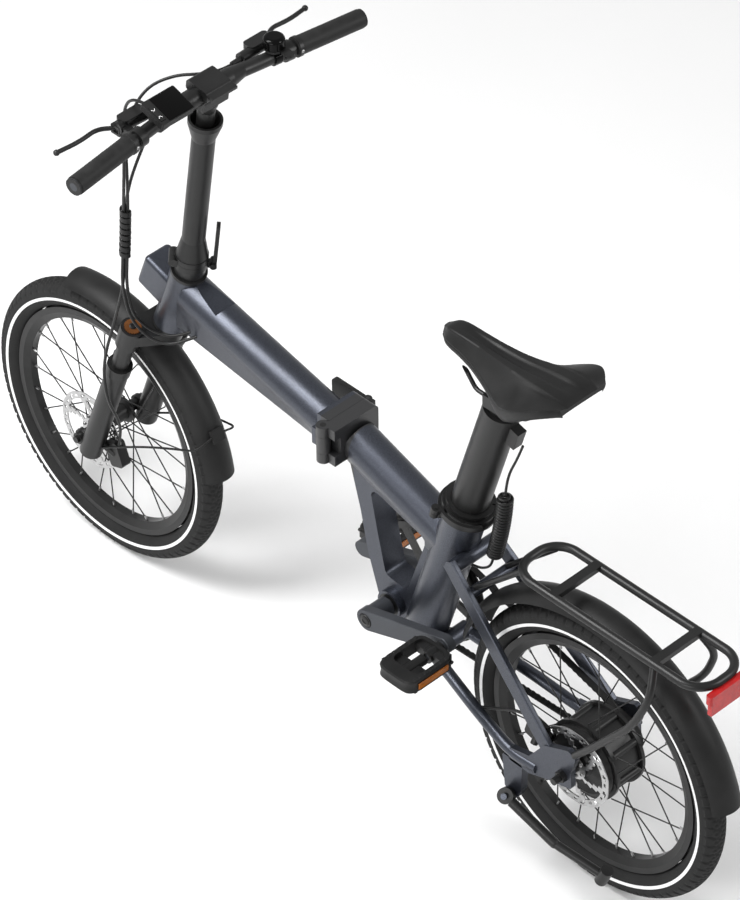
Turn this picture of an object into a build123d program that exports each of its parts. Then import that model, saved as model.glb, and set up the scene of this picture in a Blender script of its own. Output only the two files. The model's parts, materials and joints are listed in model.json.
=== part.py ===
"""Folding bicycle with 20 inch wheels, a hub motor, a belt drive and a battery seat post.

Millimetres.  X runs forward, Y to the rider's left, Z up.  While it is built, x = 0 is the rear
axle; the finished parts are moved along X so that the origin is the middle of the bicycle's box,
on the ground.
"""
from build123d import *
import os
from math import atan2, cos, degrees, radians, sin, tan

os.makedirs("parts", exist_ok=True)

# ---- wheels
WHEELBASE = 1081.7
TYRE_RADIUS = 252.0
TYRE_SECTION = 24.0          # radius of the tyre's own section
BEAD_RADIUS = 206.3
RIM_INNER_RADIUS = 184.0
RIM_HALF_WIDTH = 13.0
SPOKE_COUNT = 28
SPOKE_RADIUS = 1.1
SPOKE_GAP = 0.4              # end of a spoke to the rim or the flange
ROTOR_RADIUS = 70.0
ROTOR_THICKNESS = 1.8
ROTOR_RIM = 14.0
ROTOR_ARMS = 6
ROTOR_BORE = 9.0
PAD_GAP = 0.6
CALIPER_WIDTH = 18.0
CALIPER_OFFSET = 1.5         # the outer half is the thicker one
AXLE_RADIUS = 6.0
NUT_RADIUS = 10.0
FIT = 0.05                   # radial clearance of a shaft in its hole
RUNNING_GAP = 0.4            # between faces that pass each other
FLANGE_RADIUS = 22.0
FLANGE_Y = 31.0
FRONT_ROTOR_Y = 40.0
REAR_ROTOR_Y = 50.0
MOTOR_RADIUS = 62.0
MOTOR_FLANGE = 69.0
MOTOR_SPOKE_Y = 27.0
MOTOR_LEFT_Y = 38.0
MOTOR_RIGHT_Y = -38.0

# ---- steering axis and fork (u forward of the axis, w up along it)
HEAD_X = 922.0
HEAD_Z = 550.0
HEAD_LEAN = 19.9
HEAD_LENGTH = 128.0
HEAD_RADIUS = 29.0
STEERER_RADIUS = 14.3
STEERER_ABOVE = 24.0         # how far the steerer stands above the head tube
CUP_HEIGHT = 6.0
LEG_U = 25.0
LEG_Y = 60.0
LEG_RADIUS = 18.5
TAB_HALF = 4.0               # half the thickness of the plate that holds the axle
STANCHION_RADIUS = 14.0
STANCHION_END = -265.0
SEAL_W = -104.0
ARCH_U = 46.0
ARCH_DEPTH = 12.0
ARCH_HALF_WIDTH = 42.0
LEG_END = -346.0
FORK_TRAVEL = 25.0
CROWN_TOP = -8.0
CROWN_BOTTOM = -33.0
SOCKET_RADIUS = 19.0
SOCKET_BOTTOM = -48.0

# ---- handle post (leans less than the fork)
POST_X = 870.5
POST_Z = 701.0
POST_LEAN = 8.56
POST_RADIUS = 18.5
INNER_POST_RADIUS = 14.0
FLANGE_OUTER = 26.5
BOWL_BOTTOM = 256.0
BOWL_TOP = 294.0
BOWL_RADIUS = 27.0
BAR_W = 353.0
STEM_PIVOT = 28.0            # fold pin to post axis
STEM_PIN_RADIUS = 4.0
STEM_KNUCKLE_RADIUS = 7.5
STEM_KNUCKLE = 30.0          # length of the knuckle along its pin
STEM_LUG_WIDTH = 9.0

# ---- handlebar
BAR_RADIUS = 11.1
BAR_CENTRE_RADIUS = 15.9
BAR_CENTRE_HALF = 42.0
BAR_HALF = 288.0
BAR_SWEEP = 25.4             # how far each end is behind the middle
BAR_DROP = 7.0
BAR_BEND_Y = 62.0
BAR_BEND_RADIUS = 90.0
GRIP_HALF = 292.5
GRIP_START = 164.0
GRIP_RADIUS = 15.5
LEVER_Y = 150.0

# ---- frame hinge
HINGE_X = 530.0
HINGE_PIN_Y = 52.0
HINGE_BOTTOM = 534.0
HINGE_TOP = 603.0
HINGE_PIN_RADIUS = 5.0
HINGE_KNUCKLE_RADIUS = 11.0
HINGE_PLATE = 25.0           # thickness of each half
HINGE_HALF_WIDTH = 40.0
HINGE_TUBE_Z = 557.0

# ---- tubes
TUBE_RADIUS = 32.0
TUBE_HEAD_X = 872.0
TUBE_HEAD_Z = 634.0
TUBE_SEAT_X = 300.0
TUBE_SEAT_Z = 484.0
SEAT_LEAN = 16.7
SEAT_TOP_X = 272.1
SEAT_TOP_Z = 575.0
SEAT_TUBE_RADIUS = 34.5
SEAT_TUBE_LENGTH = 326.0
SEATPOST_RADIUS = 30.0
SEATPOST_BOTTOM = -262.0     # along the seat axis, from the top of the seat tube
SEATPOST_TOP = 236.0
STRUT_HALF_WIDTH = 21.0
BB_X = 411.0
BB_Z = 302.0
BB_RADIUS = 24.0
BB_HALF_WIDTH = 34.0
BB_BORE = 20.0
SPINDLE_RADIUS = 12.0

# ---- drive
CRANK_LENGTH = 175.0
CRANK_ANGLE = 18.5           # left crank points back and up by this
CRANK_INNER_Y = 69.0
CRANK_OUTER_Y = 84.0
BELT_Y = -52.0
BELT_WIDTH = 11.0
FRONT_SPROCKET_RADIUS = 102.0
REAR_SPROCKET_RADIUS = 34.0
BELT_GAP = 0.5
BELT_THICKNESS = 4.0
GUARD_RADIUS = 114.0
GUARD_THICKNESS = 2.0
PEDAL_SPINDLE_RADIUS = 6.0
PEDAL_INNER_Y = 88.0
PEDAL_HUB_END = 118.0
PEDAL_LENGTH = 76.0
PEDAL_OUTER_Y = 189.0
PEDAL_THICKNESS = 24.0
PEDAL_WALL = 9.0
PEDAL_PIN_RADIUS = 3.0

# ---- rear triangle
STAY_Y = 71.0
STAY_RADIUS = 9.5
SEAT_STAY_Y = 46.0
DROPOUT_HALF = 5.0
AXLE_LEFT = 97.0
AXLE_RIGHT = -90.0
KICK_X = 102.0
KICK_Y = 92.0
KICK_Z = 150.0
KICK_AXIS = (-0.317, 0.780, 0.539)
KICK_PIN_RADIUS = 5.0
KICK_FOOT = (-76.0, 63.0, 86.0)

# ---- fenders and rack
FENDER_THICKNESS = 1.6
FENDER_HALF_WIDTH = 30.0
FENDER_CROWN = 18.0
FRONT_FENDER_RADIUS = 278.0
REAR_FENDER_RADIUS = 283.0
RACK_TUBE = 7.0
RACK_HALF_WIDTH = 48.0
RACK_FRONT = 144.0
RACK_REAR = -248.0
RACK_Z = 558.0
RACK_CORNER = 40.0

# ---- small fittings
PEDAL_HINGE_Y = 99.0
CLAMP_PIVOT = (20.0, 52.0)
CLAMP_LUG_TURN = 215.0
CLAMP_PIN_RADIUS = 3.0
CLAMP_ARM_RADIUS = 49.5
CLAMP_ARM_END = 158.0        # degrees round from the front
SADDLE_BASE = 25.0           # underside of the saddle above the top of the post
LATCH_PIN_RADIUS = 3.0
LATCH_X = HINGE_X + HINGE_PLATE / 2
LATCH_Y = -HINGE_HALF_WIDTH - 14
LATCH_LOW = (LATCH_X, LATCH_Y, HINGE_BOTTOM + 18)
LATCH_HIGH = (LATCH_X, LATCH_Y, HINGE_TOP - 18)
LATCH_ARM_R = 34.0
DISPLAY_Y = 101.0
KEY_PIVOT = Pos(-3, 25, 3.4)  # the keys rock on a pin along Y
KEY_HEIGHT = 3.6
KEY_PIN_RADIUS = 1.2
BELL_Y = -128.0

# ---- hoses and cables: the corners of each route
CABLE_RADIUS = 2.5
COIL_RADIUS = 13.0
SEAT_LEAD = [(163, 0, 752), (174, 0, 720), (190, 0, 684), (197, 0, 648)]
SEAT_COIL = [(197, 0, 648), (200, 0, 598), (209, 0, 545), (222, 0, 494)]
SEAT_TAIL = [(222, 0, 494), (228, 0, 476), (244, 0, 462), (262, 0, 456), (276, 0, 454)]
FRONT_HOSE = [(837.2, 66, 1051.3), (838, 45, 1051), (851, 28, 1044), (874, 25, 1022), (888, 44, 988),
              (893, 66, 944), (904, 84, 888), (915, 90, 830), (923, 86, 772), (929.4, 84.6, 716), (937, 82, 660),
              (951, 84, 604), (966, 86, 552), (982, 88, 498), (990, 88, 444), (986, 84, 392), (990, 62, 342),
              (1000, 49, 300), (1014, 45, 258)]
REAR_HOSE = [(837.2, -66, 1051.3), (838, -44, 1051), (855, -19, 1049), (886, 6, 1044), (912, 38, 1026),
             (917, 68, 992), (907, 90, 944), (899, 97, 888), (908.2, 90.5, 831), (916.2, 86.5, 773),
             (922.6, 85, 717), (930, 82.5, 660), (926, 77, 603), (914, 60, 573), (892, 46, 562), (870, 34, 566),
             (852, 19, 578)]
DISPLAY_WIRE = [(800, 112, 1074), (820, 112.5, 1077), (842, 112, 1075), (866, 111, 1066), (883, 109, 1042),
                (889, 108, 1000), (892, 107, 944), (896, 107, 888), (911.5, 96.5, 832), (919.5, 92.5, 773),
                (925.9, 91, 717), (933.5, 88.5, 660), (922, 86, 602), (902, 70, 567), (878, 54, 556),
                (856, 38, 565), (838, 18, 577)]
REAR_BRAKE_TAIL = [(206, 58, 242), (184, 50, 250), (156, 49, 264), (124, 50, 284), (98, 51.5, 293),
                   (76, 51.5, 284)]
HOSE_RADIUS = 2.5


# ------------------------------------------------------------------ helpers
def rod(start, end, radius, bore=0.0):
    """A round bar from one point to another."""
    a, b = Vector(*start), Vector(*end)
    span = b - a
    place = Plane(origin=(a + b) / 2, z_dir=span.normalized())
    bar = place * Cylinder(radius, span.length)
    return bar - place * Cylinder(bore, span.length) if bore else bar


def disc(x, z, y0, y1, radius, bore=0.0):
    """A disc whose axis runs along Y."""
    return rod((x, y0, z), (x, y1, z), radius, bore)


def plate(outline, y0, y1, corner=0.0):
    """A flat plate with its outline in the XZ plane, from y0 to the larger y1."""
    shape = Polygon(*outline, align=None)
    if corner:
        shape = fillet(shape.vertices(), corner)
    return extrude(Plane.XZ.offset(-y1) * shape, y1 - y0, dir=(0, -1, 0))


def link(x0, z0, r0, x1, z1, r1, y0, y1):
    """A flat bar with round ends of two sizes."""
    ends = (Pos(x0, z0) * Circle(r0)).edges() + (Pos(x1, z1) * Circle(r1)).edges()
    return extrude(Plane.XZ.offset(-y1) * make_hull(ends), y1 - y0, dir=(0, -1, 0))


def flat_bar(start, end, width_y, height):
    """A straight bar of rectangular section, with its width along Y."""
    a, b = Vector(*start), Vector(*end)
    span = b - a
    side = Vector(0, 1, 0).cross(span).normalized()
    place = Plane(origin=(a + b) / 2, x_dir=span.cross(side).normalized(), z_dir=span.normalized())
    return place * extrude(RectangleRounded(width_y, height, min(width_y, height) * 0.25),
                           span.length / 2, both=True)


def corner_radii(points):
    """The largest even radius for each corner of a route."""
    radii = []
    for before, here, after in zip(points, points[1:], points[2:]):
        into, out = Vector(*here) - Vector(*before), Vector(*after) - Vector(*here)
        turn = radians(into.get_angle(out))
        radii.append(0.45 * min(into.length, out.length) / tan(turn / 2))
    return radii


def bent(points, radius, radii=None):
    """A round bar or a cable along a route of straight runs and tangent arcs."""
    radii = radii or corner_radii(points)
    path = FilletPolyline(*points, radius=radii)
    start = Plane(origin=path @ 0, z_dir=path % 0)
    return sweep(start * Circle(radius), path=path), radii, path.length


def mirrored(shape):
    return mirror(shape, about=Plane.XZ)


def around(profile, start, end, x, z):
    """Turn a profile (r, y) about the wheel axis, from one angle to another above the horizontal."""
    ring = revolve(profile, Axis.Y, end - start)
    return Pos(x, 0, z) * Rot(0, -end, 0) * ring


def turned(points, x, z):
    """A round part with its axis along Y, from a profile of (r, y) points."""
    return Pos(x, 0, z) * revolve(Polygon(*points, align=None), Axis.Y, 360)


HEAD = Plane(origin=(HEAD_X, 0, HEAD_Z), x_dir=(cos(radians(HEAD_LEAN)), 0, sin(radians(HEAD_LEAN))),
             z_dir=(-sin(radians(HEAD_LEAN)), 0, cos(radians(HEAD_LEAN))))
POST = Plane(origin=(POST_X, 0, POST_Z), x_dir=(cos(radians(POST_LEAN)), 0, sin(radians(POST_LEAN))),
             z_dir=(-sin(radians(POST_LEAN)), 0, cos(radians(POST_LEAN))))
SEAT = Plane(origin=(SEAT_TOP_X, 0, SEAT_TOP_Z), x_dir=(cos(radians(SEAT_LEAN)), 0, sin(radians(SEAT_LEAN))),
             z_dir=(-sin(radians(SEAT_LEAN)), 0, cos(radians(SEAT_LEAN))))
STEM_FOLD = POST * Rot(0, 0, 45)     # local x points to the front left, where the fold pin is


def world(plane, u, y, w):
    """A point of a leaning plane, in the bicycle's axes."""
    p = plane.from_local_coords(Vector(u, y, w))
    return (p.X, p.Y, p.Z)


AXLE_U = (WHEELBASE - HEAD_X) * cos(radians(HEAD_LEAN)) + (TYRE_RADIUS - HEAD_Z) * sin(radians(HEAD_LEAN))
AXLE_W = -(WHEELBASE - HEAD_X) * sin(radians(HEAD_LEAN)) + (TYRE_RADIUS - HEAD_Z) * cos(radians(HEAD_LEAN))
CRANK_DX = CRANK_LENGTH * cos(radians(CRANK_ANGLE))
CRANK_DZ = CRANK_LENGTH * sin(radians(CRANK_ANGLE))
LEFT_AXLE = (BB_X - CRANK_DX, BB_Z + CRANK_DZ)
RIGHT_AXLE = (BB_X + CRANK_DX, BB_Z - CRANK_DZ)


# ------------------------------------------------------------------ wheels
def tyre(x):
    ring_radius = TYRE_RADIUS - TYRE_SECTION
    section = Pos(ring_radius, 0) * Circle(TYRE_SECTION)
    section -= Pos(BEAD_RADIUS / 2, 0) * Rectangle(BEAD_RADIUS, 4 * TYRE_SECTION)
    return Pos(x, 0, TYRE_RADIUS) * revolve(section, Axis.Y, 360)


def rim(x):
    half, top = RIM_HALF_WIDTH, BEAD_RADIUS - 0.3
    well = RIM_INNER_RADIUS + 12
    profile = [(RIM_INNER_RADIUS, -7), (RIM_INNER_RADIUS, 7), (well, half), (top, half),
               (top, half - 2.5), (well + 3, half - 4), (well + 3, 4 - half), (top, 2.5 - half),
               (top, -half), (well, -half)]
    return turned(profile, x, TYRE_RADIUS)


def spokes(x, flange_radius, flange_y, lead):
    """Laced spokes: each side has leading and trailing ones, which pass 4 mm apart."""
    laid = []
    for i in range(SPOKE_COUNT):
        side = 1 if i % 2 else -1
        way = 1 if (i // 2) % 2 else -1
        outer = radians(360 * i / SPOKE_COUNT)
        inner = outer + radians(lead) * way
        start_radius = flange_radius + SPOKE_RADIUS + SPOKE_GAP
        end_radius = RIM_INNER_RADIUS - 2 * SPOKE_GAP
        start = (x + start_radius * cos(inner), side * (flange_y + 2.2 * way),
                 TYRE_RADIUS + start_radius * sin(inner))
        end = (x + end_radius * cos(outer), side * 2.5, TYRE_RADIUS + end_radius * sin(outer))
        laid.append(rod(start, end, SPOKE_RADIUS))
    return Compound(children=laid)


def rotor(x, y):
    y0, y1 = y - ROTOR_THICKNESS / 2, y + ROTOR_THICKNESS / 2
    ring = disc(x, TYRE_RADIUS, y0, y1, ROTOR_RADIUS, ROTOR_RADIUS - ROTOR_RIM)
    hub = disc(x, TYRE_RADIUS, y0, y1, FLANGE_RADIUS, ROTOR_BORE)
    arm_length = ROTOR_RADIUS - ROTOR_RIM - FLANGE_RADIUS + 4
    arm_middle = FLANGE_RADIUS + arm_length / 2 - 2
    body = ring + hub
    for i in range(ROTOR_ARMS):
        arm = Pos(arm_middle, 0, 0) * Box(arm_length, ROTOR_THICKNESS, 7)
        body += Pos(x, y, TYRE_RADIUS) * Rot(0, 360 * i / ROTOR_ARMS, 0) * arm
    return body


def front_hub():
    end = LEG_Y - TAB_HALF - RUNNING_GAP
    face = FRONT_ROTOR_Y - ROTOR_THICKNESS / 2
    profile = [(AXLE_RADIUS + FIT, -end), (9, -end), (11, -FLANGE_Y - 3), (FLANGE_RADIUS, -FLANGE_Y - 3),
               (FLANGE_RADIUS, -FLANGE_Y + 3), (15, -FLANGE_Y + 5), (15, FLANGE_Y - 5),
               (FLANGE_RADIUS, FLANGE_Y - 3), (FLANGE_RADIUS, FLANGE_Y + 3), (18, FLANGE_Y + 3),
               (18, face), (ROTOR_BORE, face), (ROTOR_BORE, end), (AXLE_RADIUS + FIT, end)]
    return turned(profile, WHEELBASE, TYRE_RADIUS)


def hub_motor():
    left, right = MOTOR_LEFT_Y, MOTOR_RIGHT_Y
    face = REAR_ROTOR_Y - ROTOR_THICKNESS / 2
    profile = [(AXLE_RADIUS + FIT, right - 6), (14, right - 6), (16, right), (MOTOR_RADIUS - 8, right),
               (MOTOR_RADIUS, right + 5), (MOTOR_RADIUS, left - 5), (MOTOR_RADIUS - 8, left),
               (24, left), (20, left + 4), (20, face), (ROTOR_BORE, face), (ROTOR_BORE, face + 14),
               (AXLE_RADIUS + FIT, face + 14)]
    shell = turned(profile, 0, TYRE_RADIUS)
    for i in range(8):
        a = radians(45 * i + 10)
        lug = disc(MOTOR_RADIUS * cos(a), TYRE_RADIUS + MOTOR_RADIUS * sin(a), right + 7, left - 7, 6)
        shell += lug
    for side in (1, -1):
        near, far = side * (MOTOR_SPOKE_Y - 3), side * (MOTOR_SPOKE_Y + 3)
        shell += disc(0, TYRE_RADIUS, near, far, MOTOR_FLANGE, AXLE_RADIUS + FIT)
    return shell


# ------------------------------------------------------------------ drive
def rear_sprocket():
    y0, y1 = BELT_Y - BELT_WIDTH / 2, BELT_Y + BELT_WIDTH / 2
    body = disc(0, TYRE_RADIUS, y0, y1, REAR_SPROCKET_RADIUS, AXLE_RADIUS + FIT)
    for y in (y0 - 1, y1 + 1):
        body += disc(0, TYRE_RADIUS, y - 1, y + 1, REAR_SPROCKET_RADIUS + 3, AXLE_RADIUS + FIT)
    return body


def front_sprocket():
    y0, y1 = BELT_Y - BELT_WIDTH / 2, BELT_Y + BELT_WIDTH / 2
    inner = FRONT_SPROCKET_RADIUS - 12
    body = disc(BB_X, BB_Z, y0, y1, FRONT_SPROCKET_RADIUS, inner)
    body += disc(BB_X, BB_Z, y0 - 4, y1, 26, SPINDLE_RADIUS)
    for i in range(5):
        a = 72 * i + 20
        arm = Pos(inner / 2 + 10, y0 + 2, 0) * Box(inner - 18, 5, 15)
        body += Pos(BB_X, 0, BB_Z) * Rot(0, a, 0) * arm
    return body


def belt_guard():
    """A ring on the outer side of the belt, screwed to the sprocket."""
    y1 = BELT_Y - BELT_WIDTH / 2
    return disc(BB_X, BB_Z, y1 - GUARD_THICKNESS, y1, GUARD_RADIUS, FRONT_SPROCKET_RADIUS - 12)


def drive_belt():
    def loop(grow):
        front = (Pos(BB_X, BB_Z) * Circle(FRONT_SPROCKET_RADIUS + grow)).edges()
        rear = (Pos(0, TYRE_RADIUS) * Circle(REAR_SPROCKET_RADIUS + grow)).edges()
        return make_hull(front + rear)
    section = loop(BELT_GAP + BELT_THICKNESS) - loop(BELT_GAP)
    width = BELT_WIDTH - 2 * RUNNING_GAP
    return extrude(Plane.XZ.offset(-BELT_Y - width / 2) * section, width, dir=(0, -1, 0))


def bottom_bracket():
    cups = []
    for side in (1, -1):
        near, far = side * (BB_HALF_WIDTH - 12), side * BB_HALF_WIDTH
        cups.append(disc(BB_X, BB_Z, near, far, BB_BORE, SPINDLE_RADIUS + FIT))
    return Compound(children=cups)


def crank_arm(x, z, inner, outer, spindle_start):
    """A crank arm with the pedal spindle screwed into its end."""
    arm = link(BB_X, BB_Z, 19, x, z, 14, inner, outer)
    arm -= disc(BB_X, BB_Z, inner, outer, SPINDLE_RADIUS)
    boss = disc(BB_X, BB_Z, spindle_start, inner, 17, SPINDLE_RADIUS)
    return arm + boss


def left_crank():
    arm = crank_arm(*LEFT_AXLE, CRANK_INNER_Y, CRANK_OUTER_Y, BB_HALF_WIDTH + 4)
    arm = fillet(arm.faces().sort_by(Axis.Y)[-1].edges(), 1.5)
    return Compound(children=[arm, pedal_spindle(*LEFT_AXLE, 1)])


def right_crank():
    """The right arm and the spindle are one forging."""
    arm = mirrored(link(BB_X, BB_Z, 19, *RIGHT_AXLE, 14, CRANK_INNER_Y, CRANK_OUTER_Y))
    inner_end = BELT_Y - BELT_WIDTH / 2 - 4
    arm += disc(BB_X, BB_Z, -CRANK_INNER_Y, inner_end, 17)
    arm += disc(BB_X, BB_Z, -CRANK_INNER_Y, CRANK_OUTER_Y - 3, SPINDLE_RADIUS)
    return Compound(children=[arm, pedal_spindle(*RIGHT_AXLE, -1)])


def pedal_spindle(x, z, side):
    near, far = side * CRANK_OUTER_Y, side * (PEDAL_HUB_END - 3)
    collar_end = side * (PEDAL_INNER_Y - RUNNING_GAP)
    spindle = disc(x, z, near, far, PEDAL_SPINDLE_RADIUS)
    return spindle + disc(x, z, near, collar_end, 9)


def pedal_hub(x, z, side):
    """The sleeve that turns on the spindle and carries the fold pin."""
    sleeve = disc(x, z, PEDAL_INNER_Y, PEDAL_HUB_END, 11, PEDAL_SPINDLE_RADIUS)
    block = Pos(x, (PEDAL_INNER_Y + PEDAL_HUB_END) / 2, z) * Box(PEDAL_LENGTH - 2 * PEDAL_WALL - 2,
                                                               PEDAL_HUB_END - PEDAL_INNER_Y - 8, 14)
    body = sleeve + block
    body += rod((x - PEDAL_LENGTH / 2 + 2, PEDAL_HINGE_Y, z), (x + PEDAL_LENGTH / 2 - 2, PEDAL_HINGE_Y, z),
                PEDAL_PIN_RADIUS)
    body -= disc(x, z, PEDAL_INNER_Y, PEDAL_HUB_END, PEDAL_SPINDLE_RADIUS + FIT)
    return body if side > 0 else mirrored(body)


def pedal_cage(x, z, side):
    """The frame that the foot stands on.  It folds up on the hub's pin."""
    y0, y1 = PEDAL_HINGE_Y - 7, PEDAL_OUTER_Y
    half = PEDAL_LENGTH / 2
    outer = Pos(x, (y0 + y1) / 2, z) * extrude(RectangleRounded(PEDAL_LENGTH, y1 - y0, 6),
                                               PEDAL_THICKNESS / 2, both=True)
    hollow_start = y0 - 5
    hollow_end = y1 - PEDAL_WALL - 3
    hollow = Pos(x, (hollow_start + hollow_end) / 2, z) * Box(PEDAL_LENGTH - 2 * PEDAL_WALL,
                                                             hollow_end - hollow_start, PEDAL_THICKNESS + 2)
    cage = outer - hollow
    cage += disc(x, z, PEDAL_HUB_END + 4.5, y1 - 2, 9)
    cage += Pos(x, PEDAL_HUB_END + 30, z - 6) * Box(PEDAL_LENGTH - 2 * PEDAL_WALL + 2, 8, 8)
    cage -= rod((x - half + 1.5, PEDAL_HINGE_Y, z), (x + half - 1.5, PEDAL_HINGE_Y, z), PEDAL_PIN_RADIUS + FIT)
    return cage if side > 0 else mirrored(cage)


# ------------------------------------------------------------------ rear frame
def keel(plane, low_radius, drop):
    """A tube section: round on top, narrower below."""
    top = Circle(TUBE_RADIUS).edges()
    low = (Pos(0, -drop) * Circle(low_radius)).edges()
    return plane * make_hull(top + low)


def seat_tube_skin():
    return SEAT * Pos(0, 0, -SEAT_TUBE_LENGTH / 2) * Cylinder(SEAT_TUBE_RADIUS, SEAT_TUBE_LENGTH)


def frame_hollows():
    """The bores of the seat tube, which is open at both ends, and of the bottom bracket."""
    bore = SEAT * Pos(0, 0, -SEAT_TUBE_LENGTH / 2) * Cylinder(SEATPOST_RADIUS + RUNNING_GAP, SEAT_TUBE_LENGTH + 2)
    return bore + disc(BB_X, BB_Z, -BB_HALF_WIDTH - 1, BB_HALF_WIDTH + 1, BB_BORE)


def hinge_half(front):
    """One plate of the frame hinge with its knuckles."""
    x0, x1 = (HINGE_X + 0.2, HINGE_X + HINGE_PLATE) if front else (HINGE_X - HINGE_PLATE, HINGE_X - 0.2)
    width = 2 * HINGE_HALF_WIDTH
    height = HINGE_TOP - HINGE_BOTTOM
    middle = (HINGE_TOP + HINGE_BOTTOM) / 2
    block = Pos((x0 + x1) / 2, 0, middle) * Box(x1 - x0, width, height)
    block = fillet(block.edges().filter_by(Axis.X).group_by(Axis.Y)[0], 9)
    gap = RUNNING_GAP / 2
    low, high = HINGE_BOTTOM + 0.27 * height, HINGE_TOP - 0.27 * height
    spans = [(low + gap, high - gap)] if front else [(HINGE_BOTTOM, low - gap), (high + gap, HINGE_TOP)]
    cut = rod((HINGE_X, HINGE_PIN_Y, HINGE_BOTTOM - 1), (HINGE_X, HINGE_PIN_Y, HINGE_TOP + 1),
              HINGE_KNUCKLE_RADIUS + RUNNING_GAP)
    body = block - cut
    bore = HINGE_PIN_RADIUS + (FIT if front else 0)
    for z0, z1 in spans:
        web = Pos((x0 + x1) / 2, (HINGE_HALF_WIDTH - 8 + HINGE_PIN_Y) / 2, (z0 + z1) / 2)
        body += web * Box(x1 - x0, HINGE_PIN_Y - HINGE_HALF_WIDTH + 8, z1 - z0)
        body += rod((HINGE_X, HINGE_PIN_Y, z0), (HINGE_X, HINGE_PIN_Y, z1), HINGE_KNUCKLE_RADIUS)
        body -= rod((HINGE_X, HINGE_PIN_Y, z0 - 1), (HINGE_X, HINGE_PIN_Y, z1 + 1), bore)
    return body


def rear_frame():
    along = Vector(HINGE_X - HINGE_PLATE - TUBE_SEAT_X, 0, HINGE_TUBE_Z - TUBE_SEAT_Z).normalized()
    hinge_end = Plane(origin=(HINGE_X - HINGE_PLATE + 4, 0, HINGE_TUBE_Z), x_dir=(0, 1, 0), z_dir=along)
    seat_end = Plane(origin=(TUBE_SEAT_X, 0, TUBE_SEAT_Z), x_dir=(0, 1, 0), z_dir=along)
    tube = loft([keel(seat_end, 22, 38), keel(hinge_end, 20, 26)])
    outline = [(508, 536), (484, 446), (468, 366), (446, 296), (412, 276), (368, 266), (350, 330),
               (310, 470), (400, 530)]
    strut = plate(outline, -STRUT_HALF_WIDTH, STRUT_HALF_WIDTH, 12)
    window = [(463, 500), (447, 420), (430, 345), (384, 340), (338, 480)]
    body = tube + strut + seat_tube_skin()
    body += disc(BB_X, BB_Z, -BB_HALF_WIDTH, BB_HALF_WIDTH, BB_RADIUS)
    body -= plate(window, -60, 60, 11)
    body += hinge_half(False)
    return body - frame_hollows()


def chain_stay():
    tube, _, _ = bent([(316, 36, 268), (262, 46, 256), (190, 60, 240), (110, STAY_Y, 222),
                       (56, STAY_Y, 226)], STAY_RADIUS)
    return tube


def side_stays():
    seat_stay = flat_bar((268, SEAT_STAY_Y, 487), (24, STAY_Y, 266), 10, 26)
    dropout = plate([(-18, 234), (-16, 268), (-26, 300), (-10, 308), (40, 286), (70, 244), (112, 234),
                     (112, 209), (70, 208), (30, 222)], STAY_Y - DROPOUT_HALF, STAY_Y + DROPOUT_HALF, 5)
    return seat_stay + chain_stay() + dropout


def rear_stays(frame):
    left = side_stays()
    body = left + mirrored(left) + rod((226, -52, 450), (226, 52, 450), 9)
    body += rod((316, -40, 268), (316, 40, 268), 14) + rod((262, -50, 481), (262, 50, 481), 12)
    body -= disc(0, TYRE_RADIUS, -90, 90, AXLE_RADIUS)
    return body - seat_tube_skin() - frame - frame_hollows()


def seat_clamp_ring():
    outer = SEAT * Pos(0, 0, -6) * Cylinder(42, 20)
    lip = SEAT * Pos(0, 0, 6) * Cylinder(38, 12)
    flange = SEAT * Pos(0, 0, -10) * Cylinder(46, 5)
    bore = SEAT * Pos(0, 0, -8) * Cylinder(SEAT_TUBE_RADIUS, 16)
    post_hole = SEAT * Pos(0, 0, 4) * Cylinder(SEATPOST_RADIUS + RUNNING_GAP, 40)
    lug = SEAT * Rot(0, 0, CLAMP_LUG_TURN) * Pos(44, 0, -5) * Box(14, 18, 12)
    slit = SEAT * Rot(0, 0, CLAMP_LUG_TURN) * Pos(44, 0, -2) * Box(22, 2.5, 40)
    ear = SEAT * Pos(CLAMP_PIVOT[0] * 0.86, CLAMP_PIVOT[1] * 0.86, -8) * Cylinder(8, 8)
    ear += SEAT * Pos(*CLAMP_PIVOT, -8) * Cylinder(7, 8)
    body = outer + lip + flange + lug + ear - bore - post_hole - slit - clamp_swing()
    return body + SEAT * Pos(*CLAMP_PIVOT, 0) * Cylinder(CLAMP_PIN_RADIUS, 16)


def clamp_swing():
    """Room for the lever's eye and its arm."""
    u, y = CLAMP_PIVOT
    eye = SEAT * Pos(u, y, 2) * Cylinder(8.5, 9 + 2 * RUNNING_GAP)
    arm = Cylinder(CLAMP_ARM_RADIUS + 4, 9 + 2 * RUNNING_GAP) - Cylinder(CLAMP_ARM_RADIUS - 3, 12)
    return eye + SEAT * Pos(0, 0, 2) * arm


def seat_clamp_lever():
    """A curved lever that lies against the collar and swings out about a pin beside it."""
    u, y = CLAMP_PIVOT
    start = degrees(atan2(y, u))
    profile = Plane.XZ * Pos(CLAMP_ARM_RADIUS, 2) * Rectangle(5, 9)
    arm = SEAT * Rot(0, 0, start) * revolve(profile, Axis.Z, CLAMP_ARM_END - start)
    eye = SEAT * Pos(u, y, 2) * Cylinder(7.5, 9)
    return arm + eye - SEAT * Pos(u, y, 2) * Cylinder(CLAMP_PIN_RADIUS + FIT, 12)


def kickstand_frame():
    return Plane(origin=(KICK_X, KICK_Y, KICK_Z), z_dir=KICK_AXIS)


def kickstand_bracket():
    drop = plate([(84, 213), (126, 213), (120, 150), (108, 138), (92, 142), (86, 160)], 62, 76, 4)
    pin = kickstand_frame() * Pos(0, 0, -2) * Cylinder(KICK_PIN_RADIUS, 26)
    socket = kickstand_frame() * Pos(0, 0, -13) * Cylinder(12, 8)
    return drop + socket + pin - chain_stay()


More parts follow.
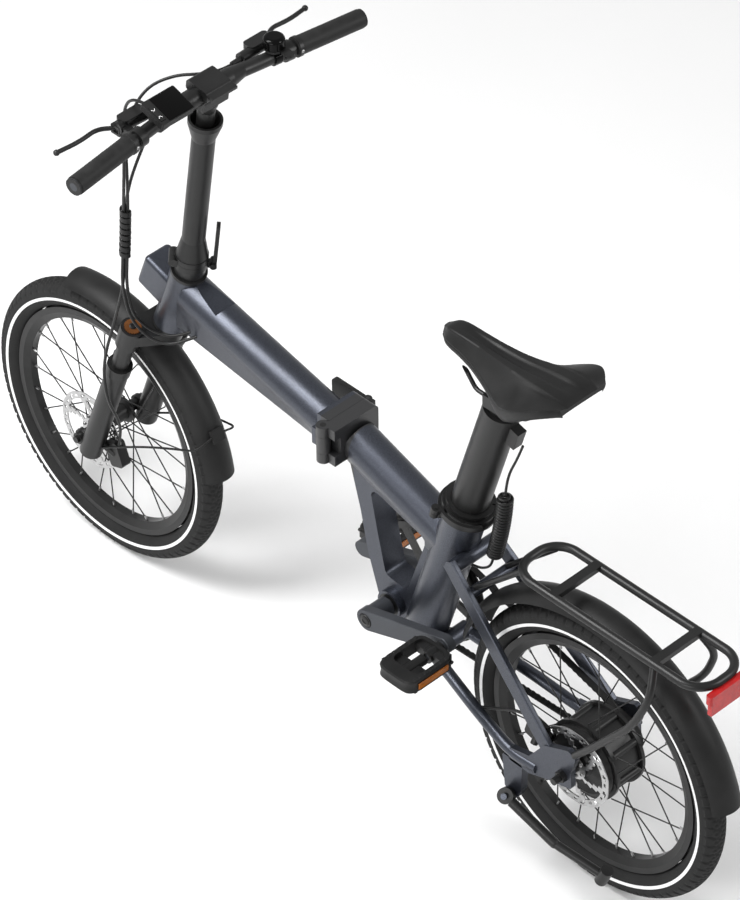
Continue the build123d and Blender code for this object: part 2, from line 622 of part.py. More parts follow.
def kickstand_leg():
    place = kickstand_frame()
    boss = place * Pos(0, 0, -2) * (Cylinder(13, 13) - Cylinder(KICK_PIN_RADIUS + FIT, 14))
    start = (KICK_X - 11, KICK_Y - 1, KICK_Z - 6)
    knee = (KICK_X - 95, KICK_Y - 8, KICK_Z - 40)
    leg = rod(start, knee, 8) + rod(knee, KICK_FOOT, 7) + Pos(*knee) * Sphere(8)
    foot = rod((KICK_FOOT[0] + 5, KICK_FOOT[1] + 1, KICK_FOOT[2] - 14),
               (KICK_FOOT[0] - 6, KICK_FOOT[1] - 1, KICK_FOOT[2] + 14), 10)
    return boss + leg + foot - place * Cylinder(KICK_PIN_RADIUS + FIT, 60)


def rear_axle():
    shaft = disc(0, TYRE_RADIUS, AXLE_RIGHT, AXLE_LEFT, AXLE_RADIUS)
    edge = STAY_Y + DROPOUT_HALF
    nuts = []
    for side in (1, -1):
        nut = Plane(origin=(0, side * (edge + 4), TYRE_RADIUS), z_dir=(0, 1, 0)) * extrude(
            RegularPolygon(NUT_RADIUS, 6), 4, both=True)
        nuts.append(nut - disc(0, TYRE_RADIUS, AXLE_RIGHT, AXLE_LEFT, AXLE_RADIUS))
    return Compound(children=[shaft] + nuts)


def caliper(x, z, turn, rotor_y, arm_to):
    """A disc brake caliper straddling its rotor, with a mount arm to arm_to."""
    place = Pos(x, rotor_y + CALIPER_OFFSET, z) * Rot(0, turn, 0)
    body = place * fillet(Box(46, CALIPER_WIDTH, 30).edges().filter_by(Axis.Y), 6)
    return body + rod((x, rotor_y + 7, z), arm_to, 6)


def rotor_slot(x, y):
    gap = ROTOR_THICKNESS / 2 + PAD_GAP
    return disc(x, TYRE_RADIUS, y - gap, y + gap, ROTOR_RADIUS + 1.5)


def rear_caliper():
    body = caliper(70, 276, -15, REAR_ROTOR_Y, (70, STAY_Y - DROPOUT_HALF, 262))
    return body - rotor_slot(0, REAR_ROTOR_Y)


def fender(x, z, radius, start, end):
    half, crown, wall = FENDER_HALF_WIDTH, FENDER_CROWN, FENDER_THICKNESS
    outer = ThreePointArc((radius - crown, -half), (radius, 0), (radius - crown, half))
    inner = ThreePointArc((radius - crown, half - wall), (radius - wall, 0), (radius - crown, wall - half))
    sides = [Line((radius - crown, half), (radius - crown, half - wall)),
             Line((radius - crown, wall - half), (radius - crown, -half))]
    profile = make_face([outer, sides[0], inner, sides[1]])
    return around(profile, start, end, x, z)


def rear_fender():
    guard = fender(0, TYRE_RADIUS, REAR_FENDER_RADIUS, 17, 167)
    tab = rod((226, 0, 440), (213, 0, 430), 6)
    tab -= rod((226, -52, 450), (226, 52, 450), 9)
    top = REAR_FENDER_RADIUS + TYRE_RADIUS
    post = rod((52, 0, top - 7), (52, 0, RACK_Z - 4), 4)
    return guard + post + (tab - fender_inside())


def fender_inside():
    return disc(0, TYRE_RADIUS, -40, 40, REAR_FENDER_RADIUS - FENDER_THICKNESS)


def rack_frame_path():
    length = RACK_FRONT - RACK_REAR - 2 * RACK_TUBE
    width = 2 * RACK_HALF_WIDTH
    middle = ((RACK_FRONT + RACK_REAR) / 2, 0, RACK_Z)
    return Plane(origin=middle) * RectangleRounded(length, width, RACK_CORNER)


def rear_rack():
    outline = rack_frame_path()
    wire = outline.wires()[0]
    start = Plane(origin=wire @ 0, z_dir=wire % 0)
    loop = sweep(start * Circle(RACK_TUBE), path=wire)
    body = loop
    for x in (52, -150):
        body += Pos(x, 0, RACK_Z + RACK_TUBE - 4.5) * Box(15, 2 * RACK_HALF_WIDTH, 9)
    strut, _, _ = bent([(-150, 48, RACK_Z - 2), (-164, 70, 512), (-138, 79, 446), (-60, 77, 350),
                        (-19, STAY_Y, 302)], 6)
    body += strut + mirrored(strut)
    for side in (1, -1):
        body += rod((126, side * 34, RACK_Z - 4), (226, side * 34, 456), 5)
    bridge = rod((226, -52, 450), (226, 52, 450), 9)
    stays = side_stays()
    return body - bridge - stays - mirrored(stays)


def tail_light():
    y = 42
    x = RACK_REAR + RACK_TUBE
    lamp = Pos(x - 10, 0, RACK_Z - 10) * Box(12, 2 * y, 16)
    lamp = fillet(lamp.edges().filter_by(Axis.Z), 4)
    reflector = Pos(x - 9, 0, RACK_Z - 31) * Box(8, 2 * y - 10, 22)
    mount = Pos(x, 0, RACK_Z - 18) * Box(10, 20, 20)
    rack = rack_frame_path().wires()[0]
    ring = sweep(Plane(origin=rack @ 0, z_dir=rack % 0) * Circle(RACK_TUBE), path=rack)
    return Compound(children=[(lamp + mount) - ring, reflector - mount])


# ------------------------------------------------------------------ seat
def seatpost():
    length = SEATPOST_TOP - SEATPOST_BOTTOM
    post = SEAT * Pos(0, 0, (SEATPOST_TOP + SEATPOST_BOTTOM) / 2) * Cylinder(SEATPOST_RADIUS, length)
    cap = SEAT * Pos(0, 0, SEATPOST_TOP + 3) * Cylinder(SEATPOST_RADIUS - 8, 6)
    port = SEAT * Pos(-SEATPOST_RADIUS - 6, 0, SEATPOST_TOP - 30) * Box(20, 18, 34)
    return post + cap + port


def saddle_rails():
    """The two bent rails and the clamp that holds them on the post."""
    top = world(SEAT, 0, 0, SEATPOST_TOP + 6)
    clamp = Pos(top[0] - 4, 0, top[2] + 14) * Box(44, 52, 22)
    clamp -= SEAT * Pos(0, 0, SEATPOST_TOP) * Cylinder(SEATPOST_RADIUS - 8, 12)
    clamp -= SEAT * Pos(0, 0, SEATPOST_TOP - 20) * Cylinder(SEATPOST_RADIUS, 40)
    rails = []
    for side in (1, -1):
        rail, _, _ = bent([(104, side * 30, 864), (140, side * 23, 830), (238, side * 21, 828),
                           (286, side * 10, 860)], 3.5, [24, 24])
        clamp -= rail
        rails.append(rail - saddle())
    return Compound(children=[clamp] + rails)


def saddle():
    top = world(SEAT, 0, 0, SEATPOST_TOP + 6)
    base = top[2] + SADDLE_BASE - 1
    outline = [(318, 16), (300, 22), (230, 30), (165, 56), (110, 74), (60, 72), (46, 40), (46, -40),
               (60, -72), (110, -74), (165, -56), (230, -30), (300, -22), (318, -16)]
    pad = Pos(0, 0, base) * extrude(fillet(Polygon(*outline, align=None).vertices(), 8), 62)
    return pad - plate([(40, base - 1), (40, base + 36), (84, base + 22), (260, base + 14), (330, base + 28),
                        (330, base - 1)], -100, 100)


def seat_cable(frame):
    """The coiled lead from the seat post down to the frame: thin ends and a fat middle."""
    radii_of = []
    lead, r1, _ = bent(SEAT_LEAD, CABLE_RADIUS)
    coil, r2, _ = bent(SEAT_COIL, COIL_RADIUS)
    tail, r3, _ = bent(SEAT_TAIL, CABLE_RADIUS)
    print("seat cable corner radii", [round(r) for r in r1 + r2 + r3])
    return Compound(children=[lead, coil, tail - frame])


# ------------------------------------------------------------------ front frame and fork
def front_frame():
    along = Vector(TUBE_HEAD_X - HINGE_X - HINGE_PLATE, 0, TUBE_HEAD_Z - HINGE_TUBE_Z).normalized()
    hinge_end = Plane(origin=(HINGE_X + HINGE_PLATE - 3, 0, HINGE_TUBE_Z), x_dir=(0, 1, 0), z_dir=along)
    head_end = Plane(origin=(TUBE_HEAD_X, 0, TUBE_HEAD_Z), x_dir=(0, 1, 0), z_dir=along)
    tube = loft([keel(hinge_end, 20, 26), keel(head_end, 22, 60)])
    head = HEAD * Pos(0, 0, HEAD_LENGTH / 2) * Cylinder(HEAD_RADIUS, HEAD_LENGTH)
    nose = HEAD * Pos(36, 0, 74) * fillet(Box(68, 52, 66).edges(), 8)
    above = HEAD * Pos(0, 0, HEAD_LENGTH + 40) * Cylinder(HEAD_RADIUS + 60, 80)
    body = tube + head + nose + hinge_half(True) - above
    ear = Pos(HINGE_X + HINGE_PLATE / 2, -HINGE_HALF_WIDTH - 9, (HINGE_BOTTOM + HINGE_TOP) / 2)
    body += ear * Box(16, 22, 10)
    body -= HEAD * Pos(0, 0, HEAD_LENGTH / 2) * Cylinder(STEERER_RADIUS + 4, HEAD_LENGTH + 40)
    return body + rod(LATCH_LOW, LATCH_HIGH, LATCH_PIN_RADIUS)


def frame_latch_lever():
    middle = (HINGE_BOTTOM + HINGE_TOP) / 2
    low, high = LATCH_LOW[2], LATCH_HIGH[2]
    body = rod((LATCH_X, LATCH_Y, low), (LATCH_X, LATCH_Y, high), 7)
    blade = Pos(LATCH_X + 38, LATCH_Y + 1, middle) * Box(72, 7, high - low)
    blade = fillet(blade.edges().filter_by(Axis.Y), 8)
    hook = Pos(LATCH_X - 7.5, LATCH_Y - 0.5, middle) * Box(10, 7, high - low)
    body += blade + hook
    body -= Pos(LATCH_X, LATCH_Y, middle) * Cylinder(14, 10.8)
    return body - rod((LATCH_X, LATCH_Y, low - 1), (LATCH_X, LATCH_Y, high + 1), LATCH_PIN_RADIUS + FIT)


def headset():
    cups = []
    for low, high in ((-CUP_HEIGHT, 0), (HEAD_LENGTH, HEAD_LENGTH + CUP_HEIGHT)):
        ring = Cylinder(HEAD_RADIUS, high - low) - Cylinder(STEERER_RADIUS + FIT, high - low + 2)
        cups.append(HEAD * Pos(0, 0, (low + high) / 2) * ring)
    return Compound(children=cups)


def fork_crown():
    top = HEAD_LENGTH + STEERER_ABOVE
    steerer = HEAD * Pos(0, 0, (top + CROWN_BOTTOM) / 2) * Cylinder(STEERER_RADIUS, top - CROWN_BOTTOM)
    race = HEAD * Pos(0, 0, -CUP_HEIGHT - 1.2) * Cylinder(HEAD_RADIUS - 4, 1.6)
    bridge_outline = make_hull((Circle(24)).edges() + (Pos(LEG_U, LEG_Y) * Circle(SOCKET_RADIUS)).edges()
                               + (Pos(LEG_U, -LEG_Y) * Circle(SOCKET_RADIUS)).edges())
    bridge = HEAD * Pos(0, 0, CROWN_BOTTOM) * extrude(bridge_outline, CROWN_TOP - CROWN_BOTTOM)
    body = steerer + race + bridge
    for side in (1, -1):
        socket = HEAD * Pos(LEG_U, side * LEG_Y, (CROWN_TOP + 4 + SOCKET_BOTTOM) / 2)
        body += socket * Cylinder(SOCKET_RADIUS, CROWN_TOP + 4 - SOCKET_BOTTOM)
        stanchion = HEAD * Pos(LEG_U, side * LEG_Y, (STANCHION_END + CROWN_TOP) / 2)
        body += stanchion * Cylinder(STANCHION_RADIUS, CROWN_TOP - STANCHION_END)
    raised = world(HEAD, AXLE_U, 0, AXLE_W + FORK_TRAVEL)
    body -= disc(raised[0], raised[2], -FENDER_HALF_WIDTH - 3, FENDER_HALF_WIDTH + 3, FRONT_FENDER_RADIUS + 1)
    room = ARCH_HALF_WIDTH + 1
    return body - HEAD * Pos(ARCH_U, 0, -30) * Box(ARCH_DEPTH + 4, 2 * room, 60)


def fork_lowers():
    body = None
    for side in (1, -1):
        leg = HEAD * Pos(LEG_U, side * LEG_Y, (SEAL_W + LEG_END) / 2) * Cylinder(LEG_RADIUS, SEAL_W - LEG_END)
        collar = HEAD * Pos(LEG_U, side * LEG_Y, SEAL_W - 10) * Cylinder(LEG_RADIUS + 2, 20)
        ends = (Pos(LEG_U, LEG_END + 12) * Circle(15)).edges() + (Pos(AXLE_U, AXLE_W) * Circle(13)).edges()
        face = Plane(origin=HEAD.origin, x_dir=HEAD.x_dir, z_dir=(0, -1, 0))
        outer = side * LEG_Y + TAB_HALF
        tab = extrude(face.offset(-outer) * make_hull(ends), 2 * TAB_HALF, dir=(0, -1, 0))
        piece = leg + collar + tab
        body = piece if body is None else body + piece
    arch_w = -44.0
    arch = fillet(Box(ARCH_DEPTH, 2 * ARCH_HALF_WIDTH, arch_w - SEAL_W + 14).edges().filter_by(Axis.X), 8)
    arch = HEAD * Pos(ARCH_U, 0, (arch_w + SEAL_W - 14) / 2) * arch
    arch -= HEAD * Pos(ARCH_U, 0, arch_w - 60) * Box(ARCH_DEPTH + 2, 2 * FENDER_HALF_WIDTH + 3, 98)
    body += arch
    for side in (1, -1):
        body += HEAD * Pos(ARCH_U - 6, side * (ARCH_HALF_WIDTH - 2), SEAL_W - 12) * Box(24, 16, 14)
        hole_end = STANCHION_END - FORK_TRAVEL - 3
        bore = HEAD * Pos(LEG_U, side * LEG_Y, (SEAL_W + hole_end) / 2)
        body -= bore * Cylinder(STANCHION_RADIUS + FIT, SEAL_W - hole_end + 1)
    inner = LEG_Y - TAB_HALF
    body -= disc(WHEELBASE, TYRE_RADIUS, -inner, inner, ROTOR_BORE + 2)
    body -= disc(WHEELBASE, TYRE_RADIUS, LEG_Y + TAB_HALF, LEG_Y + 30, NUT_RADIUS + 1)
    body -= disc(WHEELBASE, TYRE_RADIUS, -LEG_Y - 30, -LEG_Y - TAB_HALF, NUT_RADIUS + 1)
    return body - disc(WHEELBASE, TYRE_RADIUS, -LEG_Y - 30, LEG_Y + 30, AXLE_RADIUS)


def front_axle():
    edge = LEG_Y + TAB_HALF
    shaft = disc(WHEELBASE, TYRE_RADIUS, -edge - 12, edge + 12, AXLE_RADIUS)
    caps = [disc(WHEELBASE, TYRE_RADIUS, s * edge, s * (edge + 7), NUT_RADIUS, AXLE_RADIUS) for s in (1, -1)]
    return Compound(children=[shaft] + caps)


def front_fender():
    guard = fender(WHEELBASE, TYRE_RADIUS, FRONT_FENDER_RADIUS, 76, 172)
    return guard


def front_fender_stays(lowers):
    pieces = []
    a = radians(155)
    clip = (WHEELBASE + (FRONT_FENDER_RADIUS + 3) * cos(a), TYRE_RADIUS + (FRONT_FENDER_RADIUS + 3) * sin(a))
    pieces.append(Pos(clip[0], 0, clip[1]) * Rot(0, -155 + 90, 0) * Box(22, 24, 5))
    for side in (1, -1):
        wire, _, _ = bent([(clip[0], side * 12.2, clip[1]), (clip[0] + 3, side * 42, clip[1] - 10),
                           (clip[0] + 90, side * 58, clip[1] - 44), (WHEELBASE - 41, side * LEG_Y, TYRE_RADIUS)], 1.8)
        pieces.append(wire - lowers)
    return pieces


def front_caliper():
    u, w = AXLE_U - 61, AXLE_W + 12
    x, _, z = world(HEAD, u, 0, w)
    arm = world(HEAD, LEG_U - 14, LEG_Y - 6, w + 6)
    body = caliper(x, z, -70, FRONT_ROTOR_Y, arm)
    legs = HEAD * Pos(LEG_U, LEG_Y, (SEAL_W + LEG_END) / 2) * Cylinder(LEG_RADIUS, SEAL_W - LEG_END)
    return body - rotor_slot(WHEELBASE, FRONT_ROTOR_Y) - legs


# ------------------------------------------------------------------ handle post and bar
def stem_knuckle(upper):
    """Barrels about the fold pin, in the post's frame turned so that x points to the pin."""
    third = STEM_KNUCKLE / 3
    gap = RUNNING_GAP / 2
    spans = [(-third / 2 + gap, third / 2 - gap)] if upper else [(-1.5 * third, -third / 2 - gap),
                                                                  (third / 2 + gap, 1.5 * third)]
    sign = 1 if upper else -1
    body = None
    for y0, y1 in spans:
        barrel = STEM_FOLD * Pos(STEM_PIVOT, (y0 + y1) / 2, 0) * Rot(90, 0, 0) * Cylinder(STEM_KNUCKLE_RADIUS, y1 - y0)
        web = STEM_FOLD * Pos(STEM_PIVOT - 9, (y0 + y1) / 2, sign * 3.85) * Box(18, y1 - y0, 7.3)
        piece = barrel + web
        body = piece if body is None else body + piece
    return body


def stem_pin(radius):
    return STEM_FOLD * Pos(STEM_PIVOT, 0, 0) * Rot(90, 0, 0) * Cylinder(radius, STEM_KNUCKLE)


def stem_clear():
    room = STEM_KNUCKLE_RADIUS + RUNNING_GAP
    return STEM_FOLD * Pos(STEM_PIVOT, 0, 0) * Rot(90, 0, 0) * Cylinder(room, STEM_KNUCKLE + 1)


def stem_base():
    """The clamp on the steerer with the lower half of the post's hinge."""
    low = HEAD_LENGTH + CUP_HEIGHT + 0.4
    clamp = HEAD * Pos(0, 0, low + 10) * Cylinder(24.5, 20)
    top = POST * Pos(0, 0, -5.2) * Cylinder(FLANGE_OUTER, 10)
    body = clamp + top
    body -= stem_clear()
    body += stem_knuckle(False)
    body += STEM_FOLD * Pos(-30, 0, -8) * Box(16, STEM_LUG_WIDTH, 12)
    body += stem_pin(STEM_PIN_RADIUS)
    keep = POST * Pos(0, 0, -0.2 - 30) * Cylinder(60, 60)
    return (body & keep) + stem_knuckle(False) + stem_pin(STEM_PIN_RADIUS) - steerer_top()


def steerer_top():
    return HEAD * Pos(0, 0, HEAD_LENGTH) * Cylinder(STEERER_RADIUS, 2 * STEERER_ABOVE)


def handlepost():
    flange = POST * Pos(0, 0, 5.2) * Cylinder(FLANGE_OUTER, 10)
    flare = POST * Pos(0, 0, 10.2 + 17) * Cone(FLANGE_OUTER - 1, POST_RADIUS, 34)
    tube = POST * Pos(0, 0, (BOWL_BOTTOM + 10) / 2) * Cylinder(POST_RADIUS, BOWL_BOTTOM - 10)
    bowl = POST * Pos(0, 0, (BOWL_BOTTOM + BOWL_TOP - 8) / 2) * Cone(POST_RADIUS, BOWL_RADIUS, BOWL_TOP - 8 - BOWL_BOTTOM)
    rim_ring = POST * Pos(0, 0, BOWL_TOP - 4) * Cylinder(BOWL_RADIUS, 8)
    cup = POST * Pos(0, 0, BOWL_TOP - 9) * Cone(INNER_POST_RADIUS + 2, BOWL_RADIUS - 4, 18)
    body = flange + flare + tube + bowl + rim_ring - cup
    body -= stem_clear()
    body += stem_knuckle(True)
    body -= stem_pin(STEM_PIN_RADIUS + FIT)
    body -= POST * Pos(0, 0, (BOWL_TOP + 40) / 2) * Cylinder(INNER_POST_RADIUS + FIT, BOWL_TOP - 38)
    return body - STEM_FOLD * Pos(-32, 0, 8) * Box(12, 26, 16.6)


def stem_latch_lever():
    """The upright lever at the rear right of the post."""
    place = STEM_FOLD * Pos(-LATCH_ARM_R, 0, 0)
    pivot = place * Pos(0, 0, -7) * Rot(90, 0, 0) * Cylinder(5.5, 20)
    arm = place * Pos(-2, 0, 36) * fillet(Box(6, 14, 84).edges().filter_by(Axis.X), 5)
    body = pivot + arm
    body -= place * Pos(0, 0, -7) * Rot(90, 0, 0) * Cylinder(9, STEM_LUG_WIDTH + 2 * RUNNING_GAP)
    return body - place * Pos(12, 0, -8) * Box(22, STEM_LUG_WIDTH + 2 * RUNNING_GAP, 13)


def inner_post():
    length = BAR_W - 16 - 70
    tube = POST * Pos(0, 0, 70 + length / 2) * Cylinder(INNER_POST_RADIUS, length)
    seat = POST * Pos(0, 0, BAR_W - 12) * Box(38, 50, 22)
    seat = fillet(seat.edges().filter_by(Axis.Y), 5)
    neck = POST * Pos(0, 0, BAR_W - 30) * Cone(INNER_POST_RADIUS, 19, 18)
    return tube + neck + seat - bar_middle() - POST * Pos(0, 0, BAR_W + 10) * Box(80, 80, 20)


def bar_middle():
    x, _, z = world(POST, 0, 0, BAR_W)
    return disc(x, z, -60, 60, BAR_CENTRE_RADIUS + FIT)


def handlebar_clamp():
    cap = POST * Pos(0, 0, BAR_W + 10.3) * Box(46, 50, 20)
    cap = fillet(cap.edges().filter_by(Axis.Y), 6)
    visor = POST * Pos(-22, 0, BAR_W + 16) * Box(26, 50, 5)
    return cap + visor - bar_middle()


def bar_points():
    x, _, z = world(POST, 0, 0, BAR_W)
    tip = (x - BAR_SWEEP, BAR_HALF, z - BAR_DROP)
    return [(tip[0], -tip[1], tip[2]), (x, -BAR_BEND_Y, z), (x, BAR_BEND_Y, z), tip]


def on_bar(y):
    """The bar's axis at a distance from the middle."""
    x, _, z = world(POST, 0, 0, BAR_W)
    share = max(0.0, (abs(y) - BAR_BEND_Y) / (BAR_HALF - BAR_BEND_Y))
    return (x - BAR_SWEEP * share, y, z - BAR_DROP * share)


def handlebar():
    bar, _, _ = bent(bar_points(), BAR_RADIUS, [BAR_BEND_RADIUS, BAR_BEND_RADIUS])
    x, _, z = world(POST, 0, 0, BAR_W)
    bar += disc(x, z, -BAR_CENTRE_HALF, BAR_CENTRE_HALF, BAR_CENTRE_RADIUS)
    for side in (1, -1):
        taper = Plane(origin=(x, side * (BAR_CENTRE_HALF + 14), z), z_dir=(0, side, 0))
        bar += taper * Cone(BAR_CENTRE_RADIUS, BAR_RADIUS, 28)
    return bar


def grips():
    pair = []
    for side in (1, -1):
        near, far = on_bar(side * GRIP_START), on_bar(side * BAR_HALF)
        pair.append(rod(near, far, GRIP_RADIUS, BAR_RADIUS + FIT))
        end = Vector(*far) + (Vector(*far) - Vector(*near)).normalized() * (GRIP_HALF - BAR_HALF)
        pair.append(rod(far, (end.X, end.Y, end.Z), GRIP_RADIUS - 1))
    return Compound(children=pair)


def lever_pivot(side):
    x, y, z = on_bar(side * LEVER_Y)
    return (x + 42, y, z - 4)


def brake_lever_bodies():
    pair = []
    for side in (1, -1):
        x, y, z = on_bar(side * LEVER_Y)
        near, far = on_bar(side * (LEVER_Y - 7)), on_bar(side * (LEVER_Y + 7))
        clamp = rod(near, far, 16, BAR_RADIUS + FIT)
        master = rod((x + 30, side * (LEVER_Y - 66), z + 4), (x + 36, side * (LEVER_Y + 8), z + 2), 9.5)
        neck = Pos(x + 22, y, z) * Box(24, 13, 12) - rod(on_bar(side * (LEVER_Y - 20)), on_bar(side * (LEVER_Y + 20)), 15)
        tank = Pos(x + 38, side * (LEVER_Y - 22), z + 8) * fillet(Box(22, 46, 12).edges().filter_by(Axis.Z), 6)
        boot = rod((x + 29.2, side * (LEVER_Y - 84), z + 4), (x + 30, side * (LEVER_Y - 66), z + 4), 4.5)
        ear_x, ear_y, ear_z = lever_pivot(side)
        body = clamp + neck + master + tank + boot
        gap = Pos(ear_x + 6, ear_y + side * 2, ear_z) * Box(28, 26, 8.8)
        ears = Pos(ear_x - 1, ear_y, ear_z) * Box(18, 18, 16)
        pair.append(body + ears - gap + rod((ear_x, ear_y, ear_z - 8), (ear_x, ear_y, ear_z + 8), 2.5))
    return Compound(children=pair)


def brake_lever(side):
    x, y, z = lever_pivot(side)
    eye = Pos(x, y, z) * Cylinder(6, 8)
    tip_x, tip_y = x + 24, side * 252.0
    blade, _, _ = bent([(x + 3, y + side * 4, z), (x + 20, side * (LEVER_Y + 26), z), (x + 18, side * 214, z - 2),
                        (tip_x, tip_y, z - 4)], 3.6)
    return eye + blade + Pos(tip_x, tip_y, z - 4) * Sphere(5) - Pos(x, y, z) * Cylinder(2.55, 20)


def display_place():
    x, y, z = on_bar(DISPLAY_Y)
    return Pos(x - 17, y, z + 33) * Rot(0, -18, 0)


def display():
    case = display_place() * fillet(Box(50, 64, 12).edges().filter_by(Axis.Z), 3)
    x, y, z = on_bar(DISPLAY_Y)
    near, far = on_bar(DISPLAY_Y - 9), on_bar(DISPLAY_Y + 9)
    clamp = rod(near, far, 15, BAR_RADIUS + FIT)
    neck = Pos(x - 6, y, z + 19) * Box(22, 16, 20) - rod(near, far, 14)
    pocket = display_place() * Pos(-3, 25, 5) * Box(30, 9, 6)
    return case + clamp + neck - pocket


def display_keys():
    keys = Pos(0, 0, KEY_HEIGHT / 2 - 0.2) * fillet(Box(29, 8, KEY_HEIGHT).edges().filter_by(Axis.Z), 1)
    return display_place() * KEY_PIVOT * (keys + Rot(90, 0, 0) * Cylinder(KEY_PIN_RADIUS, 8.6))


def bell():
    x, y, z = on_bar(BELL_Y)
    near, far = on_bar(BELL_Y - 6), on_bar(BELL_Y + 6)
    strap = rod(near, far, 14, BAR_RADIUS + FIT)
    stalk = rod((x, y, z + 12), (x, y, z + 20), 9)
    dome = Pos(x, y, z + 29) * Cylinder(17, 18)
    dome = fillet(dome.edges().group_by(Axis.Z)[-1], 7)
    return strap + stalk + dome - rod(near, far, BAR_RADIUS + FIT)


def bell_lever():
    x, y, z = on_bar(BELL_Y)
    ring = Pos(x, y, z + 15.5) * (Cylinder(15, 4) - Cylinder(9.3, 5))
    tab = Pos(x - 24, y - 5, z + 15.5) * fillet(Box(22, 14, 4).edges().filter_by(Axis.Z), 5)
    return ring + (tab - Pos(x, y, z + 15.5) * Cylinder(12, 5))


# ------------------------------------------------------------------ hoses


def hose(name, points):
    tube, radii, length = bent(points, HOSE_RADIUS)
    print(name, "length", round(length), "corner radii", [round(r) for r in radii])
    return tube


# ------------------------------------------------------------------ assembly
def build():
    frame = rear_frame()
    stays = rear_stays(frame)
    front = front_frame()
    lowers = fork_lowers()
    levers = brake_lever_bodies()
    rear_brake = rear_caliper()
    front_brake = front_caliper()
    parts = {
        "rear_frame": frame,
        "rear_stays": Compound(children=[stays, kickstand_bracket()]),
        "seat_clamp_ring": seat_clamp_ring(),
        "seat_clamp_lever": seat_clamp_lever(),
        "bottom_bracket": bottom_bracket(),
        "rear_fender": rear_fender(),
        "rear_rack": rear_rack(),
        "tail_light": tail_light(),
        "rear_axle": rear_axle(),
        "kickstand_leg": kickstand_leg(),
        "drive_belt": drive_belt(),
        "frame_hinge_pin": rod((HINGE_X, HINGE_PIN_Y, HINGE_BOTTOM), (HINGE_X, HINGE_PIN_Y, HINGE_TOP),
                               HINGE_PIN_RADIUS),
        "left_crank": left_crank(),
        "right_crank": right_crank(),
        "front_sprocket": Compound(children=[front_sprocket(), belt_guard()]),
        "rear_sprocket": rear_sprocket(),
        "left_pedal_hub": pedal_hub(*LEFT_AXLE, 1),
        "right_pedal_hub": pedal_hub(*RIGHT_AXLE, -1),
        "left_pedal_cage": pedal_cage(*LEFT_AXLE, 1),
        "right_pedal_cage": pedal_cage(*RIGHT_AXLE, -1),
        "rear_tyre": tyre(0),
        "rear_rim": rim(0),
        "rear_spokes": spokes(0, MOTOR_FLANGE, MOTOR_SPOKE_Y, 24),
        "hub_motor": hub_motor(),
        "rear_rotor": rotor(0, REAR_ROTOR_Y),
        "seatpost": seatpost(),
        "saddle": saddle(),
        "saddle_rails": saddle_rails(),
        "seat_cable": seat_cable(frame),
        "front_frame": front,
        "headset": headset(),
        "frame_latch_lever": frame_latch_lever(),
        "fork_crown": fork_crown(),
        "stem_base": stem_base(),
        "stem_latch_lever": stem_latch_lever(),
        "fork_lowers": lowers,
        "front_fender": Compound(children=[front_fender()] + front_fender_stays(lowers)),
        "front_caliper": front_brake,
        "front_axle": front_axle(),
        "front_tyre": tyre(WHEELBASE),
        "front_rim": rim(WHEELBASE),
        "front_spokes": spokes(WHEELBASE, FLANGE_RADIUS, FLANGE_Y, 62),
        "front_hub": front_hub(),
        "front_rotor": rotor(WHEELBASE, FRONT_ROTOR_Y),
        "handlepost": handlepost(),
        "inner_post": inner_post(),
        "handlebar_clamp": handlebar_clamp(),
        "handlebar": handlebar(),
        "grips": grips(),
        "brake_lever_bodies": levers,
        "left_brake_lever": brake_lever(1),
        "right_brake_lever": brake_lever(-1),
        "display": display(),
        "display_keys": display_keys(),
        "bell": bell(),
        "bell_lever": bell_lever(),
        "front_hose": hose("front hose", FRONT_HOSE) - front_brake - levers,
    }
    tail = hose("rear hose tail", REAR_BRAKE_TAIL) - stays - rear_brake
    parts["rear_caliper"] = Compound(children=[rear_brake, tail])
    parts["rear_hose"] = hose("rear hose", REAR_HOSE) - front - levers
    parts["display_wire"] = hose("display wire", DISPLAY_WIRE) - front - parts["display"]
    return parts


def main():
    parts = build()
    boxes = [shape.bounding_box() for shape in parts.values()]
    shift = -(min(b.min.X for b in boxes) + max(b.max.X for b in boxes)) / 2
    print("parts", len(parts), "shift along X", round(shift, 3))
    for name, shape in parts.items():
        export_step(Pos(shift, 0, 0) * shape, f"parts/{name}.step")


main()
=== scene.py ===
"""The looks of the folding bicycle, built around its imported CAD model. Metres, X forward, Y left, Z up."""
import json
import math

